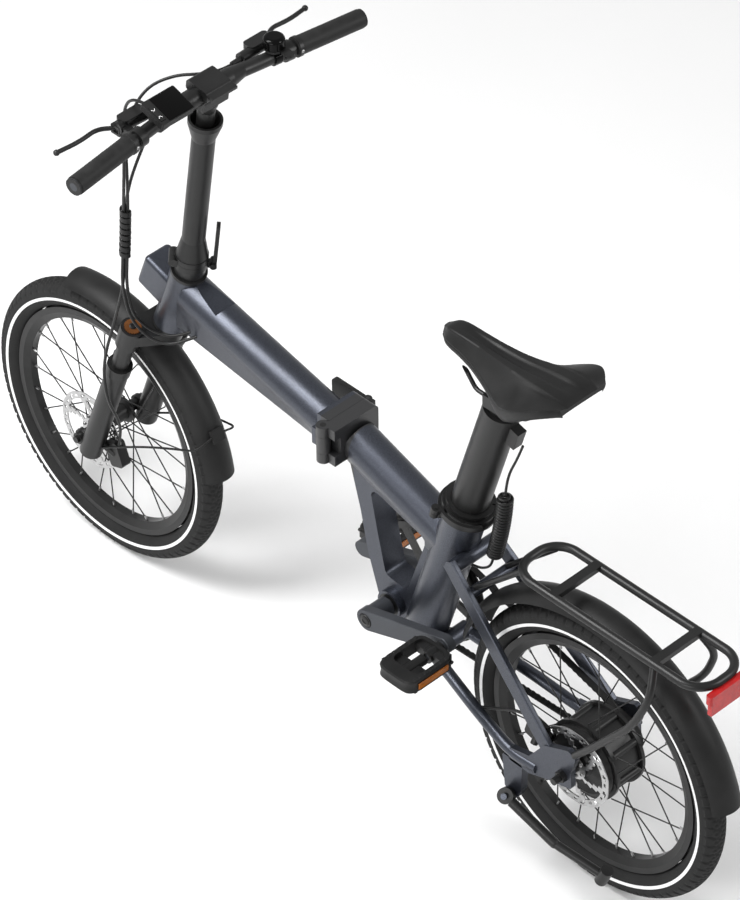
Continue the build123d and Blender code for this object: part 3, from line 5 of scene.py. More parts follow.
import bmesh
import bpy
import numpy as np
from mathutils import Matrix, Vector
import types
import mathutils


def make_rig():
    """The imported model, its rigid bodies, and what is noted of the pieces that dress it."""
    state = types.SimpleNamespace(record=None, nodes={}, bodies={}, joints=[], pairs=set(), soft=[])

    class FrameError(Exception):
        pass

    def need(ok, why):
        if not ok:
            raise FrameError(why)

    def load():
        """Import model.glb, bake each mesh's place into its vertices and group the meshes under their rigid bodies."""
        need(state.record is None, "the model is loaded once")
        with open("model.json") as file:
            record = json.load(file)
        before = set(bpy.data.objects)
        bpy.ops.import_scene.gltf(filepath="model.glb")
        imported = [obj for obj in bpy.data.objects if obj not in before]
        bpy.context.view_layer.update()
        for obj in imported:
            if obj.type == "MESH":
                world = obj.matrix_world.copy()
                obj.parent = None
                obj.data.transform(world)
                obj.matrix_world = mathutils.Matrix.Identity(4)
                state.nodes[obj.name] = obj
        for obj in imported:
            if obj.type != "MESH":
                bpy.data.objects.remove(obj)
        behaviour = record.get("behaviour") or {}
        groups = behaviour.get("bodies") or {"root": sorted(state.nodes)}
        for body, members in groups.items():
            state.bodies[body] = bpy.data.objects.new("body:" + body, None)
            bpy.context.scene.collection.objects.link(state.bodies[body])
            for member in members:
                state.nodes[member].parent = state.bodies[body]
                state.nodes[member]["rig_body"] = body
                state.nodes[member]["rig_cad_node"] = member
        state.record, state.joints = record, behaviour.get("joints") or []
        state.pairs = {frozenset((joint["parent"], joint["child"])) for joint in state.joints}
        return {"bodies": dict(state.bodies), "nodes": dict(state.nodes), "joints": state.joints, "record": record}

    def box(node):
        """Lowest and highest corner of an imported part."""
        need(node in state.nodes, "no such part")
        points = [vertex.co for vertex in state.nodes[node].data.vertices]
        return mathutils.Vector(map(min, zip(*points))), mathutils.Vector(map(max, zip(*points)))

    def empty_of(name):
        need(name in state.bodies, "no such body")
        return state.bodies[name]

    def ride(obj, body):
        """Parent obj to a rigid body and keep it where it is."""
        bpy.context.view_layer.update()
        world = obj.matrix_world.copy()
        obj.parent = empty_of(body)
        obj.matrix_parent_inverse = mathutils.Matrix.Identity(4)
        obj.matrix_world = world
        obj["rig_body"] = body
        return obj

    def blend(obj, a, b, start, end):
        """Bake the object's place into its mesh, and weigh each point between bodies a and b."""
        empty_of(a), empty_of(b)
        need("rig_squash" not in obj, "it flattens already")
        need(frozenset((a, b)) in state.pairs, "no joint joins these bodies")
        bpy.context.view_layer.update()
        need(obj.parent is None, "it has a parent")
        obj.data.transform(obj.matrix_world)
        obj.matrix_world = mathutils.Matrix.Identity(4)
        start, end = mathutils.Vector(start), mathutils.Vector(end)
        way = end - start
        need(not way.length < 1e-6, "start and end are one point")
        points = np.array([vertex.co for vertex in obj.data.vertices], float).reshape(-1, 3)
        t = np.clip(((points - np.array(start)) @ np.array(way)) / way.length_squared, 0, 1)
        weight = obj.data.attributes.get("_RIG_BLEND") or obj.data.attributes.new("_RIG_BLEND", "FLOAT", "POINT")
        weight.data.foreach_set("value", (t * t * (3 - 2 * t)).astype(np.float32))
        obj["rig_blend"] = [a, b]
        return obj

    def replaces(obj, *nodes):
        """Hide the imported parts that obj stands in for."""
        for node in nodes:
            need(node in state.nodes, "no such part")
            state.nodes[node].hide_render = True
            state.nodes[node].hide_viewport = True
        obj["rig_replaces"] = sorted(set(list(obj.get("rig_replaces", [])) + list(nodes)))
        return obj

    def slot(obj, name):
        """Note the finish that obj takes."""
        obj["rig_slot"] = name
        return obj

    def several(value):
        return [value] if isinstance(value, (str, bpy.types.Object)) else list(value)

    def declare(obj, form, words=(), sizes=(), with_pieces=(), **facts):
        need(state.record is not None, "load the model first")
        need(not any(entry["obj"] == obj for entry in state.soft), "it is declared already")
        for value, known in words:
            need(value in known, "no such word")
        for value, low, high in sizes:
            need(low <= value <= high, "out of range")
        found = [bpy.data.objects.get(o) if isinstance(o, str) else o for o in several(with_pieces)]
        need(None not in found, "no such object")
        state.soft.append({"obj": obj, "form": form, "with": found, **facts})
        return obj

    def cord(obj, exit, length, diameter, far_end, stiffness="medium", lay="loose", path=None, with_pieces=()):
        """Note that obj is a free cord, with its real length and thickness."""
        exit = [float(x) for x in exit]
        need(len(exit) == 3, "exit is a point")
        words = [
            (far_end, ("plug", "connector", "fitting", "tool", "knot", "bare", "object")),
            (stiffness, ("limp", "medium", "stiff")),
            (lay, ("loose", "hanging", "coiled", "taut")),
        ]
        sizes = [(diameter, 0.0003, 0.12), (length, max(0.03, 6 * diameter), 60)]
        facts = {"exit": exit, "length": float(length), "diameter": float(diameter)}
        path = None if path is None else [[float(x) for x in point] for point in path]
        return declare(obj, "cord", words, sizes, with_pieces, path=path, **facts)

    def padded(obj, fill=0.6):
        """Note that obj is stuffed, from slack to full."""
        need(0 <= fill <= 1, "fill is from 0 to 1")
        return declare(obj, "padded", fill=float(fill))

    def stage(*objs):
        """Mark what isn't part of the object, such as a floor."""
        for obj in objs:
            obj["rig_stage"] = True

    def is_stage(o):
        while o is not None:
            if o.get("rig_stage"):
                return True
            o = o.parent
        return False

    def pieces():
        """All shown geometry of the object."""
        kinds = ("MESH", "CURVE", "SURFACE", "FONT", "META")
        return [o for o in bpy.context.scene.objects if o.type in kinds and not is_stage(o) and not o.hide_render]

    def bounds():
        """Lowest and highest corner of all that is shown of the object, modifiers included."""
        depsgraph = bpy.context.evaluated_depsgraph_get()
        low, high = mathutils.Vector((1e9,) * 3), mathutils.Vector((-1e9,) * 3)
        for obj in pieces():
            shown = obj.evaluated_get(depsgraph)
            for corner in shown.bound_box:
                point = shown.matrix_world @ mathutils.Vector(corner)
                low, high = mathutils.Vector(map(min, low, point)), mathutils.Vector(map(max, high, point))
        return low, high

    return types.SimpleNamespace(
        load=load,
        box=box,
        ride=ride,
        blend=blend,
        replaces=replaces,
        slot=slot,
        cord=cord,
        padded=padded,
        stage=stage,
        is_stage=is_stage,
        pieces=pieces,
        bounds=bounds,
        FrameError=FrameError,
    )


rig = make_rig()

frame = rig.load()
cad_box = [list(c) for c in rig.bounds()]
nodes = frame["nodes"]

Y = Vector((0, 1, 0))
TAU = 2 * math.pi


def middle(node):
    low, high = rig.box(node)
    return (low + high) / 2


REAR = middle("rear_tyre")
FRONT = middle("front_tyre")
SHIFT = REAR.x                      # the CAD source counts X from the rear axle
HINGE = middle("frame_hinge_pin")
HINGE.x = (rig.box("front_frame")[0].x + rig.box("frame_hinge_pin")[0].x) / 2
HINGE_HALF = 0.0252                 # half the length of the two black hinge plates


def at(x, y, z):
    """A point given in the CAD source's millimetres from the rear axle."""
    return Vector((x / 1000 + SHIFT, y / 1000, z / 1000))


# ------------------------------------------------------------------ materials
def tree(name):
    mat = bpy.data.materials.new(name)
    mat.use_nodes = True
    nt = mat.node_tree
    shader = nt.nodes["Principled BSDF"]
    coords = nt.nodes.new("ShaderNodeTexCoord")
    return mat, nt, shader, coords.outputs["Object"]


def noise(nt, vector, scale, detail=3.0, stretch=None):
    if stretch:
        scaled = nt.nodes.new("ShaderNodeMapping")
        scaled.inputs["Scale"].default_value = stretch
        nt.links.new(vector, scaled.inputs["Vector"])
        vector = scaled.outputs["Vector"]
    tex = nt.nodes.new("ShaderNodeTexNoise")
    tex.inputs["Scale"].default_value = scale
    tex.inputs["Detail"].default_value = detail
    nt.links.new(vector, tex.inputs["Vector"])
    return tex.outputs["Fac"]


def cells(nt, vector, scale):
    tex = nt.nodes.new("ShaderNodeTexVoronoi")
    tex.inputs["Scale"].default_value = scale
    nt.links.new(vector, tex.inputs["Vector"])
    return tex.outputs["Distance"]


def maths(nt, operation, value, other=0.5):
    node = nt.nodes.new("ShaderNodeMath")
    node.operation = operation
    node.inputs[1].default_value = other
    nt.links.new(value, node.inputs[0])
    return node.outputs[0]


def ramp(nt, factor, stops):
    node = nt.nodes.new("ShaderNodeValToRGB")
    ends = node.color_ramp.elements
    while len(ends) < len(stops):
        ends.new(0.5)
    for end, (place, colour) in zip(ends, stops):
        end.position = place
        end.color = (*colour, 1)
    nt.links.new(factor, node.inputs["Fac"])
    return node.outputs["Color"]


def grey(value):
    return (value, value, value)


def bump(nt, shader, height, distance, strength=1.0, over=None):
    node = nt.nodes.new("ShaderNodeBump")
    node.inputs["Distance"].default_value = distance
    node.inputs["Strength"].default_value = strength
    nt.links.new(height, node.inputs["Height"])
    if over:
        nt.links.new(over, node.inputs["Normal"])
    nt.links.new(node.outputs["Normal"], shader.inputs["Normal"])
    return node.outputs["Normal"]


def finish_with(name, colour_a, colour_b, rough_a, rough_b, scale, metallic=0.0, grain=None, coat=0.0,
                coat_rough=0.1, specular=0.22, stretch=None):
    """A base finish: two near colours and two near roughnesses mixed by noise, with a fine grain."""
    mat, nt, shader, place = tree(name)
    shader.inputs["Metallic"].default_value = metallic
    shader.inputs["Coat Weight"].default_value = coat
    shader.inputs["Coat Roughness"].default_value = coat_rough
    shader.inputs["Specular IOR Level"].default_value = specular
    patches = noise(nt, place, scale, 4.0, stretch)
    nt.links.new(ramp(nt, patches, [(0.3, colour_a), (0.7, colour_b)]), shader.inputs["Base Color"])
    nt.links.new(ramp(nt, patches, [(0.3, grey(rough_a)), (0.7, grey(rough_b))]), shader.inputs["Roughness"])
    if grain:
        bump(nt, shader, noise(nt, place, grain[0], 2.0, stretch), grain[1])
    return mat, nt, shader, place


def frame_paint():
    """Metallic dark blue-grey paint with fine flakes; the two hinge plates are matte black."""
    mat, nt, shader, place = tree("frame_paint")
    shader.inputs["Coat Weight"].default_value = 0.3
    shader.inputs["Coat Roughness"].default_value = 0.3
    split = nt.nodes.new("ShaderNodeSeparateXYZ")
    nt.links.new(place, split.inputs["Vector"])
    away = maths(nt, "ABSOLUTE", maths(nt, "SUBTRACT", split.outputs["X"], HINGE.x))
    painted = maths(nt, "GREATER_THAN", away, HINGE_HALF)
    flakes = cells(nt, place, 1500)
    colour = ramp(nt, flakes, [(0.1, (0.088, 0.097, 0.122)), (0.75, (0.028, 0.031, 0.041))])
    rough = ramp(nt, noise(nt, place, 9.0), [(0.3, grey(0.34)), (0.7, grey(0.42))])
    for kind, plain, varied, socket in (("RGBA", (0.011, 0.011, 0.012, 1), colour, "Base Color"),
                                        ("RGBA", (0.44, 0.44, 0.44, 1), rough, "Roughness")):
        mix = nt.nodes.new("ShaderNodeMix")
        mix.data_type = kind
        mix.inputs[6].default_value = plain
        nt.links.new(painted, mix.inputs["Factor"])
        nt.links.new(varied, mix.inputs[7])
        nt.links.new(mix.outputs[2], shader.inputs[socket])
    nt.links.new(maths(nt, "MULTIPLY", painted, 0.82), shader.inputs["Metallic"])
    bump(nt, shader, flakes, 0.00006, 0.5)
    return mat


def crank_grey():
    return finish_with("crank_grey", (0.050, 0.053, 0.060), (0.062, 0.066, 0.074), 0.42, 0.5, 14, 0.5,
                       (900, 0.00003))[0]


def black_metal():
    return finish_with("black_metal", grey(0.006), grey(0.010), 0.34, 0.44, 18, 0.0, (1400, 0.00004),
                       specular=0.34)[0]


def rim_black():
    return finish_with("rim_black", grey(0.012), grey(0.018), 0.28, 0.36, 30, 0.1, (700, 0.00003))[0]


def black_plastic():
    return finish_with("black_plastic", grey(0.008), grey(0.013), 0.42, 0.55, 25, 0.0, (1800, 0.00008))[0]


def gloss_black():
    return finish_with("gloss_black", grey(0.0012), grey(0.002), 0.12, 0.18, 8, 0.0, (60, 0.00002),
                       specular=0.12)[0]


def tyre_rubber():
    return finish_with("tyre_rubber", grey(0.009), grey(0.016), 0.62, 0.78, 40, 0.0, (1200, 0.00015))[0]


def grip_rubber():
    return finish_with("grip_rubber", grey(0.011), grey(0.017), 0.46, 0.56, 60, 0.0, (2200, 0.0001))[0]


def cable_black():
    return finish_with("cable_black", grey(0.010), grey(0.015), 0.28, 0.36, 70, 0.0, (900, 0.00003))[0]


def steel():
    return finish_with("steel", grey(0.42), grey(0.52), 0.26, 0.38, 40, 1.0, (500, 0.00002),
                       stretch=(1, 1, 6))[0]


def machined():
    return finish_with("machined", grey(0.30), grey(0.38), 0.30, 0.42, 60, 1.0, (900, 0.00003))[0]


def reflective_stripe():
    return finish_with("reflective_stripe", grey(0.72), grey(0.80), 0.35, 0.45, 90, 0.0,
                       (2500, 0.00004))[0]


def amber_lens():
    mat, nt, shader, place = finish_with("amber_lens", (0.26, 0.070, 0.004), (0.34, 0.100, 0.008), 0.15, 0.25,
                                         60, coat=0.3, coat_rough=0.08)
    bump(nt, shader, cells(nt, place, 420), 0.0004)
    return mat


def red_lens():
    mat, nt, shader, place = finish_with("red_lens", (0.30, 0.003, 0.004), (0.42, 0.006, 0.006), 0.15, 0.25,
                                         60, coat=0.4, coat_rough=0.08)
    bump(nt, shader, cells(nt, place, 380), 0.0004)
    return mat


def crown_orange():
    return finish_with("crown_orange", (0.16, 0.060, 0.018), (0.22, 0.085, 0.028), 0.35, 0.5, 200, 0.6,
                       (900, 0.0001))[0]


def leather():
    """Fine-grained black saddle skin."""
    mat, nt, shader, place = finish_with("leather", grey(0.006), grey(0.010), 0.40, 0.52, 26)
    grain = cells(nt, place, 950)
    first = bump(nt, shader, grain, 0.00012, 0.7)
    bump(nt, shader, noise(nt, place, 35, 5.0), 0.0004, 0.3, first)
    return mat


def floor_white():
    return finish_with("floor_white", grey(0.80), grey(0.82), 0.75, 0.85, 1.5)[0]


MATS = {make.__name__: make() for make in (
    frame_paint, crank_grey, black_metal, rim_black, black_plastic, gloss_black, tyre_rubber, grip_rubber,
    cable_black, steel, machined, reflective_stripe, amber_lens, red_lens, crown_orange, leather, floor_white)}


def dress(node, mat):
    """Give a carried-over CAD node its material."""
    obj = nodes[node]
    if not obj.material_slots:
        obj.data.materials.append(None)
    for s in obj.material_slots:
        s.material = MATS[mat]


DRESSED = {
    "frame_paint": ["rear_frame", "rear_stays", "front_frame"],
    "black_metal": ["seat_clamp_ring", "bottom_bracket", "rear_rack", "rear_axle", "frame_hinge_pin",
                    "seat_clamp_lever", "kickstand_leg", "saddle_rails", "hub_motor",
                    "rear_sprocket", "seatpost", "headset", "frame_latch_lever", "fork_crown", "stem_base",
                    "fork_lowers", "front_axle", "front_hub", "handlepost", "stem_latch_lever", "inner_post",
                    "handlebar_clamp", "handlebar", "brake_lever_bodies", "left_brake_lever",
                    "right_brake_lever", "left_pedal_hub", "right_pedal_hub", "front_sprocket",
                    "rear_caliper", "front_caliper", "rear_spokes", "front_spokes"],
    "crank_grey": ["left_crank", "right_crank"],
    "rim_black": ["rear_rim", "front_rim"],
    "black_plastic": ["rear_fender", "front_fender", "left_pedal_cage", "right_pedal_cage", "display",
                      "bell_lever", "display_keys"],
    "gloss_black": ["bell"],
    "steel": ["rear_rotor", "front_rotor"],
    "tyre_rubber": ["drive_belt", "rear_tyre", "front_tyre"],
    "grip_rubber": ["grips"],
    "cable_black": ["seat_cable", "front_hose", "rear_hose", "display_wire"],
    "red_lens": ["tail_light"],
    "leather": ["saddle"],
}
for mat_name, dressed in DRESSED.items():
    for node_name in dressed:
        dress(node_name, mat_name)


# ------------------------------------------------------------------ mesh tools
def mesh_object(name, verts, faces, mat, smooth=None):
    """A mesh piece. Edges sharper than smooth, in degrees, stay sharp."""
    me = bpy.data.meshes.new(name)
    me.from_pydata([tuple(v) for v in verts], [], [tuple(f) for f in faces])
    me.update()
    bm = bmesh.new()
    bm.from_mesh(me)
    bmesh.ops.recalc_face_normals(bm, faces=bm.faces[:])
    bm.to_mesh(me)
    bm.free()
    obj = bpy.data.objects.new(name, me)
    bpy.context.scene.collection.objects.link(obj)
    me.materials.append(MATS[mat])
    if smooth:
        me.shade_smooth()
        me.set_sharp_from_angle(angle=math.radians(smooth))
    return obj


def joined(name, pieces):
    """Several meshes as one piece, with their own materials."""
    mats = []
    verts, faces, slots, smooth = [], [], [], []
    for piece in pieces:
        base = len(verts)
        me = piece.data
        verts += [tuple(v.co) for v in me.vertices]
        used = me.materials[0]
        if used not in mats:
            mats.append(used)
        for p in me.polygons:
            faces.append([base + i for i in p.vertices])
            slots.append(mats.index(used))
        bpy.data.objects.remove(piece)
    me = bpy.data.meshes.new(name)
    me.from_pydata(verts, [], faces)
    for mat in mats:
        me.materials.append(mat)
    me.polygons.foreach_set("material_index", slots)
    me.shade_smooth()
    me.set_sharp_from_angle(angle=math.radians(35))
    me.update()
    obj = bpy.data.objects.new(name, me)
    bpy.context.scene.collection.objects.link(obj)
    return obj


def grid_faces(rows, cols, close_rows=False, close_cols=False):
    out = []
    for i in range(rows if close_rows else rows - 1):
        for j in range(cols if close_cols else cols - 1):
            a, b = i * cols + j, i * cols + (j + 1) % cols
            c, d = ((i + 1) % rows) * cols + (j + 1) % cols, ((i + 1) % rows) * cols + j
            out.append((a, b, c, d))
    return out


def lathe(name, centre, profile, mat, sides=96, axis=Y, smooth=35, closed=True):
    """A closed profile of (radius, along) in metres, turned about an axis through centre."""
    u = axis.orthogonal().normalized()
    v = axis.cross(u).normalized()
    verts = []
    for i in range(sides):
        a = TAU * i / sides
        out = u * math.cos(a) + v * math.sin(a)
        verts += [centre + out * r + axis * t for r, t in profile]
    faces = grid_faces(sides, len(profile), True, closed)
    obj = mesh_object(name, verts, faces, mat, smooth)
    bm = bmesh.new()
    bm.from_mesh(obj.data)
    bmesh.ops.remove_doubles(bm, verts=bm.verts[:], dist=1e-6)
    bm.to_mesh(obj.data)
    bm.free()
    return obj


def tube(name, points, radius, mat, sides=12):
    """A round tube with flat ends along a line of points."""
    verts = []
    normal = None
    for i, p in enumerate(points):
        ahead = (points[min(i + 1, len(points) - 1)] - points[max(i - 1, 0)]).normalized()
        if normal is None:
            normal = ahead.orthogonal().normalized()
        normal = (normal - ahead * normal.dot(ahead)).normalized()
        side = ahead.cross(normal)
        for k in range(sides):
            a = TAU * k / sides
            verts.append(p + (normal * math.cos(a) + side * math.sin(a)) * radius)
    faces = grid_faces(len(points), sides, False, True)
    last = (len(points) - 1) * sides
    faces += [tuple(range(sides)), tuple(last + k for k in range(sides))]
    return mesh_object(name, verts, faces, mat, 50)


def block(name, centre, size, mat, bevel=0.001, turn=None, segments=2):
    """A rectangular block with bevelled edges."""
    bm = bmesh.new()
    bmesh.ops.create_cube(bm, size=1)
    for v in bm.verts:
        v.co = Vector((v.co.x * size[0], v.co.y * size[1], v.co.z * size[2]))
    bmesh.ops.bevel(bm, geom=bm.edges[:], offset=bevel, segments=segments, affect="EDGES", profile=0.6)
    m = Matrix.Translation(centre) @ (turn or Matrix.Identity(4))
    bm.transform(m)
    verts = [v.co.copy() for v in bm.verts]
    faces = [[v.index for v in f.verts] for f in bm.faces]
    bm.free()
    return mesh_object(name, verts, faces, mat, 40)


def polar_plate(name, centre, rings, steps, keep, thickness, mat, wave=None, axis=Y):
    """A flat plate cut from a polar grid: keep(ring, angle) says which cells are there."""
    u = axis.orthogonal().normalized()
    v = axis.cross(u).normalized()
    verts, index, faces = [], {}, []

    def corner(i, k, side):
        key = (i, k % steps, side)
        if key not in index:
            a = TAU * (k % steps) / steps
            r = wave(i, rings[i], a) if wave else rings[i]
            index[key] = len(verts)
            verts.append(centre + (u * math.cos(a) + v * math.sin(a)) * r + axis * thickness / 2 * side)
        return index[key]

    there = {(i, k): keep(i, TAU * (k + 0.5) / steps) for i in range(len(rings) - 1) for k in range(steps)}
    for (i, k), kept in there.items():
        if not kept:
            continue
        for side in (1, -1):
            faces.append([corner(i, k, side), corner(i + 1, k, side), corner(i + 1, k + 1, side),
                          corner(i, k + 1, side)])
        for di, dk, a, b in ((-1, 0, (i, k), (i, k + 1)), (1, 0, (i + 1, k), (i + 1, k + 1)),
                             (0, -1, (i, k), (i + 1, k)), (0, 1, (i, k + 1), (i + 1, k + 1))):
            if not there.get((i + di, (k + dk) % steps), False):
                faces.append([corner(*a, 1), corner(*b, 1), corner(*b, -1), corner(*a, -1)])
    return mesh_object(name, verts, faces, mat, 30)


def bolt(name, centre, axis, radius, height, mat="steel"):
    """A button-head bolt with a hexagonal socket."""
    r, h = radius, height
    profile = [(0.0, 0.0), (r, 0.0), (r, h * 0.45), (r * 0.8, h * 0.85), (r * 0.55, h),
               (r * 0.5, h * 0.4), (0.0, h * 0.4)]
    return lathe(name, centre, profile, mat, 18, axis, 40, False)


# ------------------------------------------------------------------ cords
FRONT_HOSE = [(837.2, 66, 1051.3), (838, 45, 1051), (851, 28, 1044), (874, 25, 1022), (888, 44, 988),
              (893, 66, 944), (904, 84, 888), (915, 90, 830), (923, 86, 772), (929.4, 84.6, 716),
              (937, 82, 660), (951, 84, 604), (966, 86, 552), (982, 88, 498), (990, 88, 444),
              (986, 84, 392), (990, 62, 342), (1000, 49, 300), (1014, 45, 258)]
REAR_HOSE = [(837.2, -66, 1051.3), (838, -44, 1051), (855, -19, 1049), (886, 6, 1044), (912, 38, 1026),
             (917, 68, 992), (907, 90, 944), (899, 97, 888), (908.2, 90.5, 831), (916.2, 86.5, 773),
             (922.6, 85, 717), (930, 82.5, 660), (926, 77, 603), (914, 60, 573), (892, 46, 562),
             (870, 34, 566), (852, 19, 578)]
DISPLAY_WIRE = [(800, 112, 1074), (820, 112.5, 1077), (842, 112, 1075), (866, 111, 1066), (883, 109, 1042),
                (889, 108, 1000), (892, 107, 944), (896, 107, 888), (911.5, 96.5, 832), (919.5, 92.5, 773),
                (925.9, 91, 717), (933.5, 88.5, 660), (922, 86, 602), (902, 70, 567), (878, 54, 556),
                (856, 38, 565), (838, 18, 577)]
SEAT_CORD = [(163, 0, 752), (174, 0, 720), (190, 0, 684), (197, 0, 648), (200, 0, 598), (209, 0, 545),
             (222, 0, 494), (228, 0, 476), (244, 0, 462), (262, 0, 456), (276, 0, 454)]
HOSE_RADIUS = 0.0025
LEAD_RADIUS = 0.0021


def smooth_line(points):
    """The points of a NURBS spline with the route's points as its control points."""
    curve = bpy.data.curves.new("route", "CURVE")
    curve.dimensions = "3D"
    curve.resolution_u = 16
    spline = curve.splines.new("NURBS")
    spline.points.add(len(points) - 1)
    for place, p in zip(spline.points, points):
        place.co = (*at(*p), 1)
    spline.order_u = 3
    spline.use_endpoint_u = True
    holder = bpy.data.objects.new("route", curve)
    mesh = bpy.data.meshes.new_from_object(holder)
    line = [v.co.copy() for v in mesh.vertices]
    bpy.data.objects.remove(holder)
    bpy.data.curves.remove(curve)
    bpy.data.meshes.remove(mesh)
    return line


def run(line):
    return sum((b - a).length for a, b in zip(line, line[1:]))


def hose(name, points, node, bodies, splits):
    """One hose in three pieces, each bent between the two bodies that it crosses."""
    line = smooth_line(points)
    first, second = (next(i for i, p in enumerate(line) if i > len(line) / 3 and p.z < cut) for cut in CUTS)
    for part, (a, b) in enumerate(((0, first + 1), (first, second + 1), (second, len(line)))):
        piece_line = line[a:b]
        piece = tube(f"{name}_{part + 1}", piece_line, HOSE_RADIUS, "cable_black")
        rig.slot(piece, "cable")
        if part == 0:
            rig.replaces(piece, node)
        start, end = splits[part]
        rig.blend(piece, *bodies[part], start, end)
        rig.cord(piece, exit=piece_line[0], length=run(piece_line), diameter=2 * HOSE_RADIUS,
                far_end="object", stiffness="medium", lay="hanging", path=piece_line)
    return line


# where each piece starts and ends its bend: at the stem's joints, the fork and the frame
STEM_BEND = ((at(880, 40, 985), at(900, 90, 900)), (at(915, 90, 860), at(925, 86, 730)))
FORK_BEND = (at(955, 84, 600), at(985, 88, 470))
FRAME_BEND = (at(930, 82, 640), at(890, 44, 564))
UPPER = (("bar", "stem"), ("stem", "steering"))
CUTS = (0.890, 0.700)               # heights where one piece of a hose ends and the next starts
front_line = hose("front_brake_hose", FRONT_HOSE, "front_hose", UPPER + (("steering", "fork_slider"),),
                  STEM_BEND + (FORK_BEND,))
rear_line = hose("rear_brake_hose", REAR_HOSE, "rear_hose", UPPER + (("steering", "front_half"),),
                 STEM_BEND + (FRAME_BEND,))
wire_line = hose("display_lead", DISPLAY_WIRE, "display_wire", UPPER + (("steering", "front_half"),),
                 STEM_BEND + (FRAME_BEND,))


def spiral_wrap():
    """The plastic spiral that gathers the three hoses between the handlebar and the frame."""
    low, high, turns, steps = 0.722, 0.822, 8, 26
    clear, half_width, half_thick = 0.0042, 0.0042, 0.0007
    lines = (front_line, rear_line, wire_line)
    path = []
    for i in range(turns * steps + 1):
        z = high + (low - high) * i / (turns * steps)
        near = [min(line[len(line) // 4:], key=lambda p: abs(p.z - z)) for line in lines]
        centre = sum(near, Vector()) / 3
        centre.z = z
        reach = max((p.xy - centre.xy).length for p in near) + clear
        a = TAU * i / steps
        path.append(centre + Vector((math.cos(a), math.sin(a), 0)) * reach)
    verts = []
    axis = Vector((0, 0, 1))
    section = ((-half_thick, -half_width), (half_thick, -half_width), (half_thick, half_width),
               (-half_thick, half_width))
    for i, p in enumerate(path):
        out = (p - path[max(0, i - 1)]).cross(axis)
        out = out.normalized() if out.length > 1e-9 else Vector((1, 0, 0))
        verts += [p + out * du + axis * dz for du, dz in section]
    faces = grid_faces(len(path), 4, False, True) + [(0, 1, 2, 3), tuple(len(verts) - 4 + k for k in range(4))]
    wrap = mesh_object("hose_wrap", verts, faces, "cable_black", 40)
    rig.slot(wrap, "cable")
    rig.blend(wrap, "stem", "steering", *STEM_BEND[1])


spiral_wrap()


def seat_coil():
    """The curly lead from the battery post down to the frame."""
    line = smooth_line(SEAT_CORD)
    lengths = [0.0]
    for a, b in zip(line, line[1:]):
        lengths.append(lengths[-1] + (b - a).length)

    def along(s):
        i = max(k for k, v in enumerate(lengths) if v <= s or k == 0)
        i = min(i, len(line) - 2)
        t = (s - lengths[i]) / (lengths[i + 1] - lengths[i])
        return line[i].lerp(line[i + 1], t), (line[i + 1] - line[i]).normalized()

    coil_top, coil_foot, coil_radius = 0.640, 0.500, 0.0112
    coil_start = next(v for v, p in zip(lengths, line) if p.z < coil_top)
    coil_end = next(v for v, p in zip(lengths, line) if p.z < coil_foot)
    turns, steps, ease = 24, 20, 0.010
    path = [along(s)[0] for s in np.linspace(0, coil_start, 24)[:-1]]
    for i in range(turns * steps + 1):
        s = coil_start + (coil_end - coil_start) * i / (turns * steps)
        p, ahead = along(s)
        side = Y.cross(ahead).normalized()
        reach = coil_radius * min(1, (s - coil_start) / ease, (coil_end - s) / ease)
        a = TAU * i / steps
        path.append(p + (Y * math.sin(a) + side * math.cos(a)) * reach)
    path += [along(s)[0] for s in np.linspace(coil_end, lengths[-1] - 1e-6, 20)[1:]]
    coil = tube("seat_post_lead", path, LEAD_RADIUS, "cable_black", 10)
    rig.slot(coil, "cable")
    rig.replaces(coil, "seat_cable")
    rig.blend(coil, "seat", "root", at(190, 0, 660), at(222, 0, 490))
    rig.cord(coil, exit=path[0], length=run(path), diameter=2 * LEAD_RADIUS, far_end="object",
            stiffness="limp", lay="coiled", path=path)


seat_coil()


# ------------------------------------------------------------------ wheels
def tread_stands(i, phi):
    """Whether the tread is raised at a step round the tyre and an angle across it."""
    steep = abs(phi)
    if steep < 0.16:
        return (i + int(phi * 40)) % 8 > 1
    if 0.22 <= steep < 0.55:
        return (i + int(steep * 30)) % 8 > 1
    return 0.60 <= steep < 1.12 and i % 9 > 1


def tyre(name, centre, node, body):
    """A tyre with cut shoulder lugs, a zigzag crown and smooth walls that carry a pale stripe."""
    steps, count = 720, 45
    ring, section, depth, bead = 0.2280, 0.0221, 0.0019, 0.2064
    top = math.acos((bead - ring) / section)
    angles = [-top + 2 * top * j / (count - 1) for j in range(count)]
    verts = []
    for i in range(steps):
        a = TAU * i / steps
        out = Vector((math.cos(a), 0, math.sin(a)))
        for phi in angles:
            r = section + (depth if tread_stands(i, phi) else 0.0)
            verts.append(centre + out * (ring + r * math.cos(phi)) + Y * r * math.sin(phi))
    faces = grid_faces(steps, count, True, False)
    for i in range(steps):              # the inner band, from bead to bead
        here, ahead = i * count, (i + 1) % steps * count
        faces.append((ahead, here, here + count - 1, ahead + count - 1))
    body_mesh = mesh_object(name, verts, faces, "tyre_rubber", 28)
    stripes = []
    for side in (1, -1):
        profile = []
        for phi, lift in ((1.60, 0.0004), (1.83, 0.0004), (1.83, -0.0008), (1.60, -0.0008)):
            profile.append((ring + (section + lift) * math.cos(phi), side * (section + lift) * math.sin(phi)))
        stripes.append(lathe(f"{name}_stripe", centre, profile, "reflective_stripe", 360))
    piece = joined(name, [body_mesh] + stripes)
    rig.ride(piece, body)
    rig.replaces(piece, node)
    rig.slot(piece, "tyre")


tyre("rear_tyre_tread", REAR, "rear_tyre", "rear_wheel")
tyre("front_tyre_tread", FRONT, "front_tyre", "front_wheel")


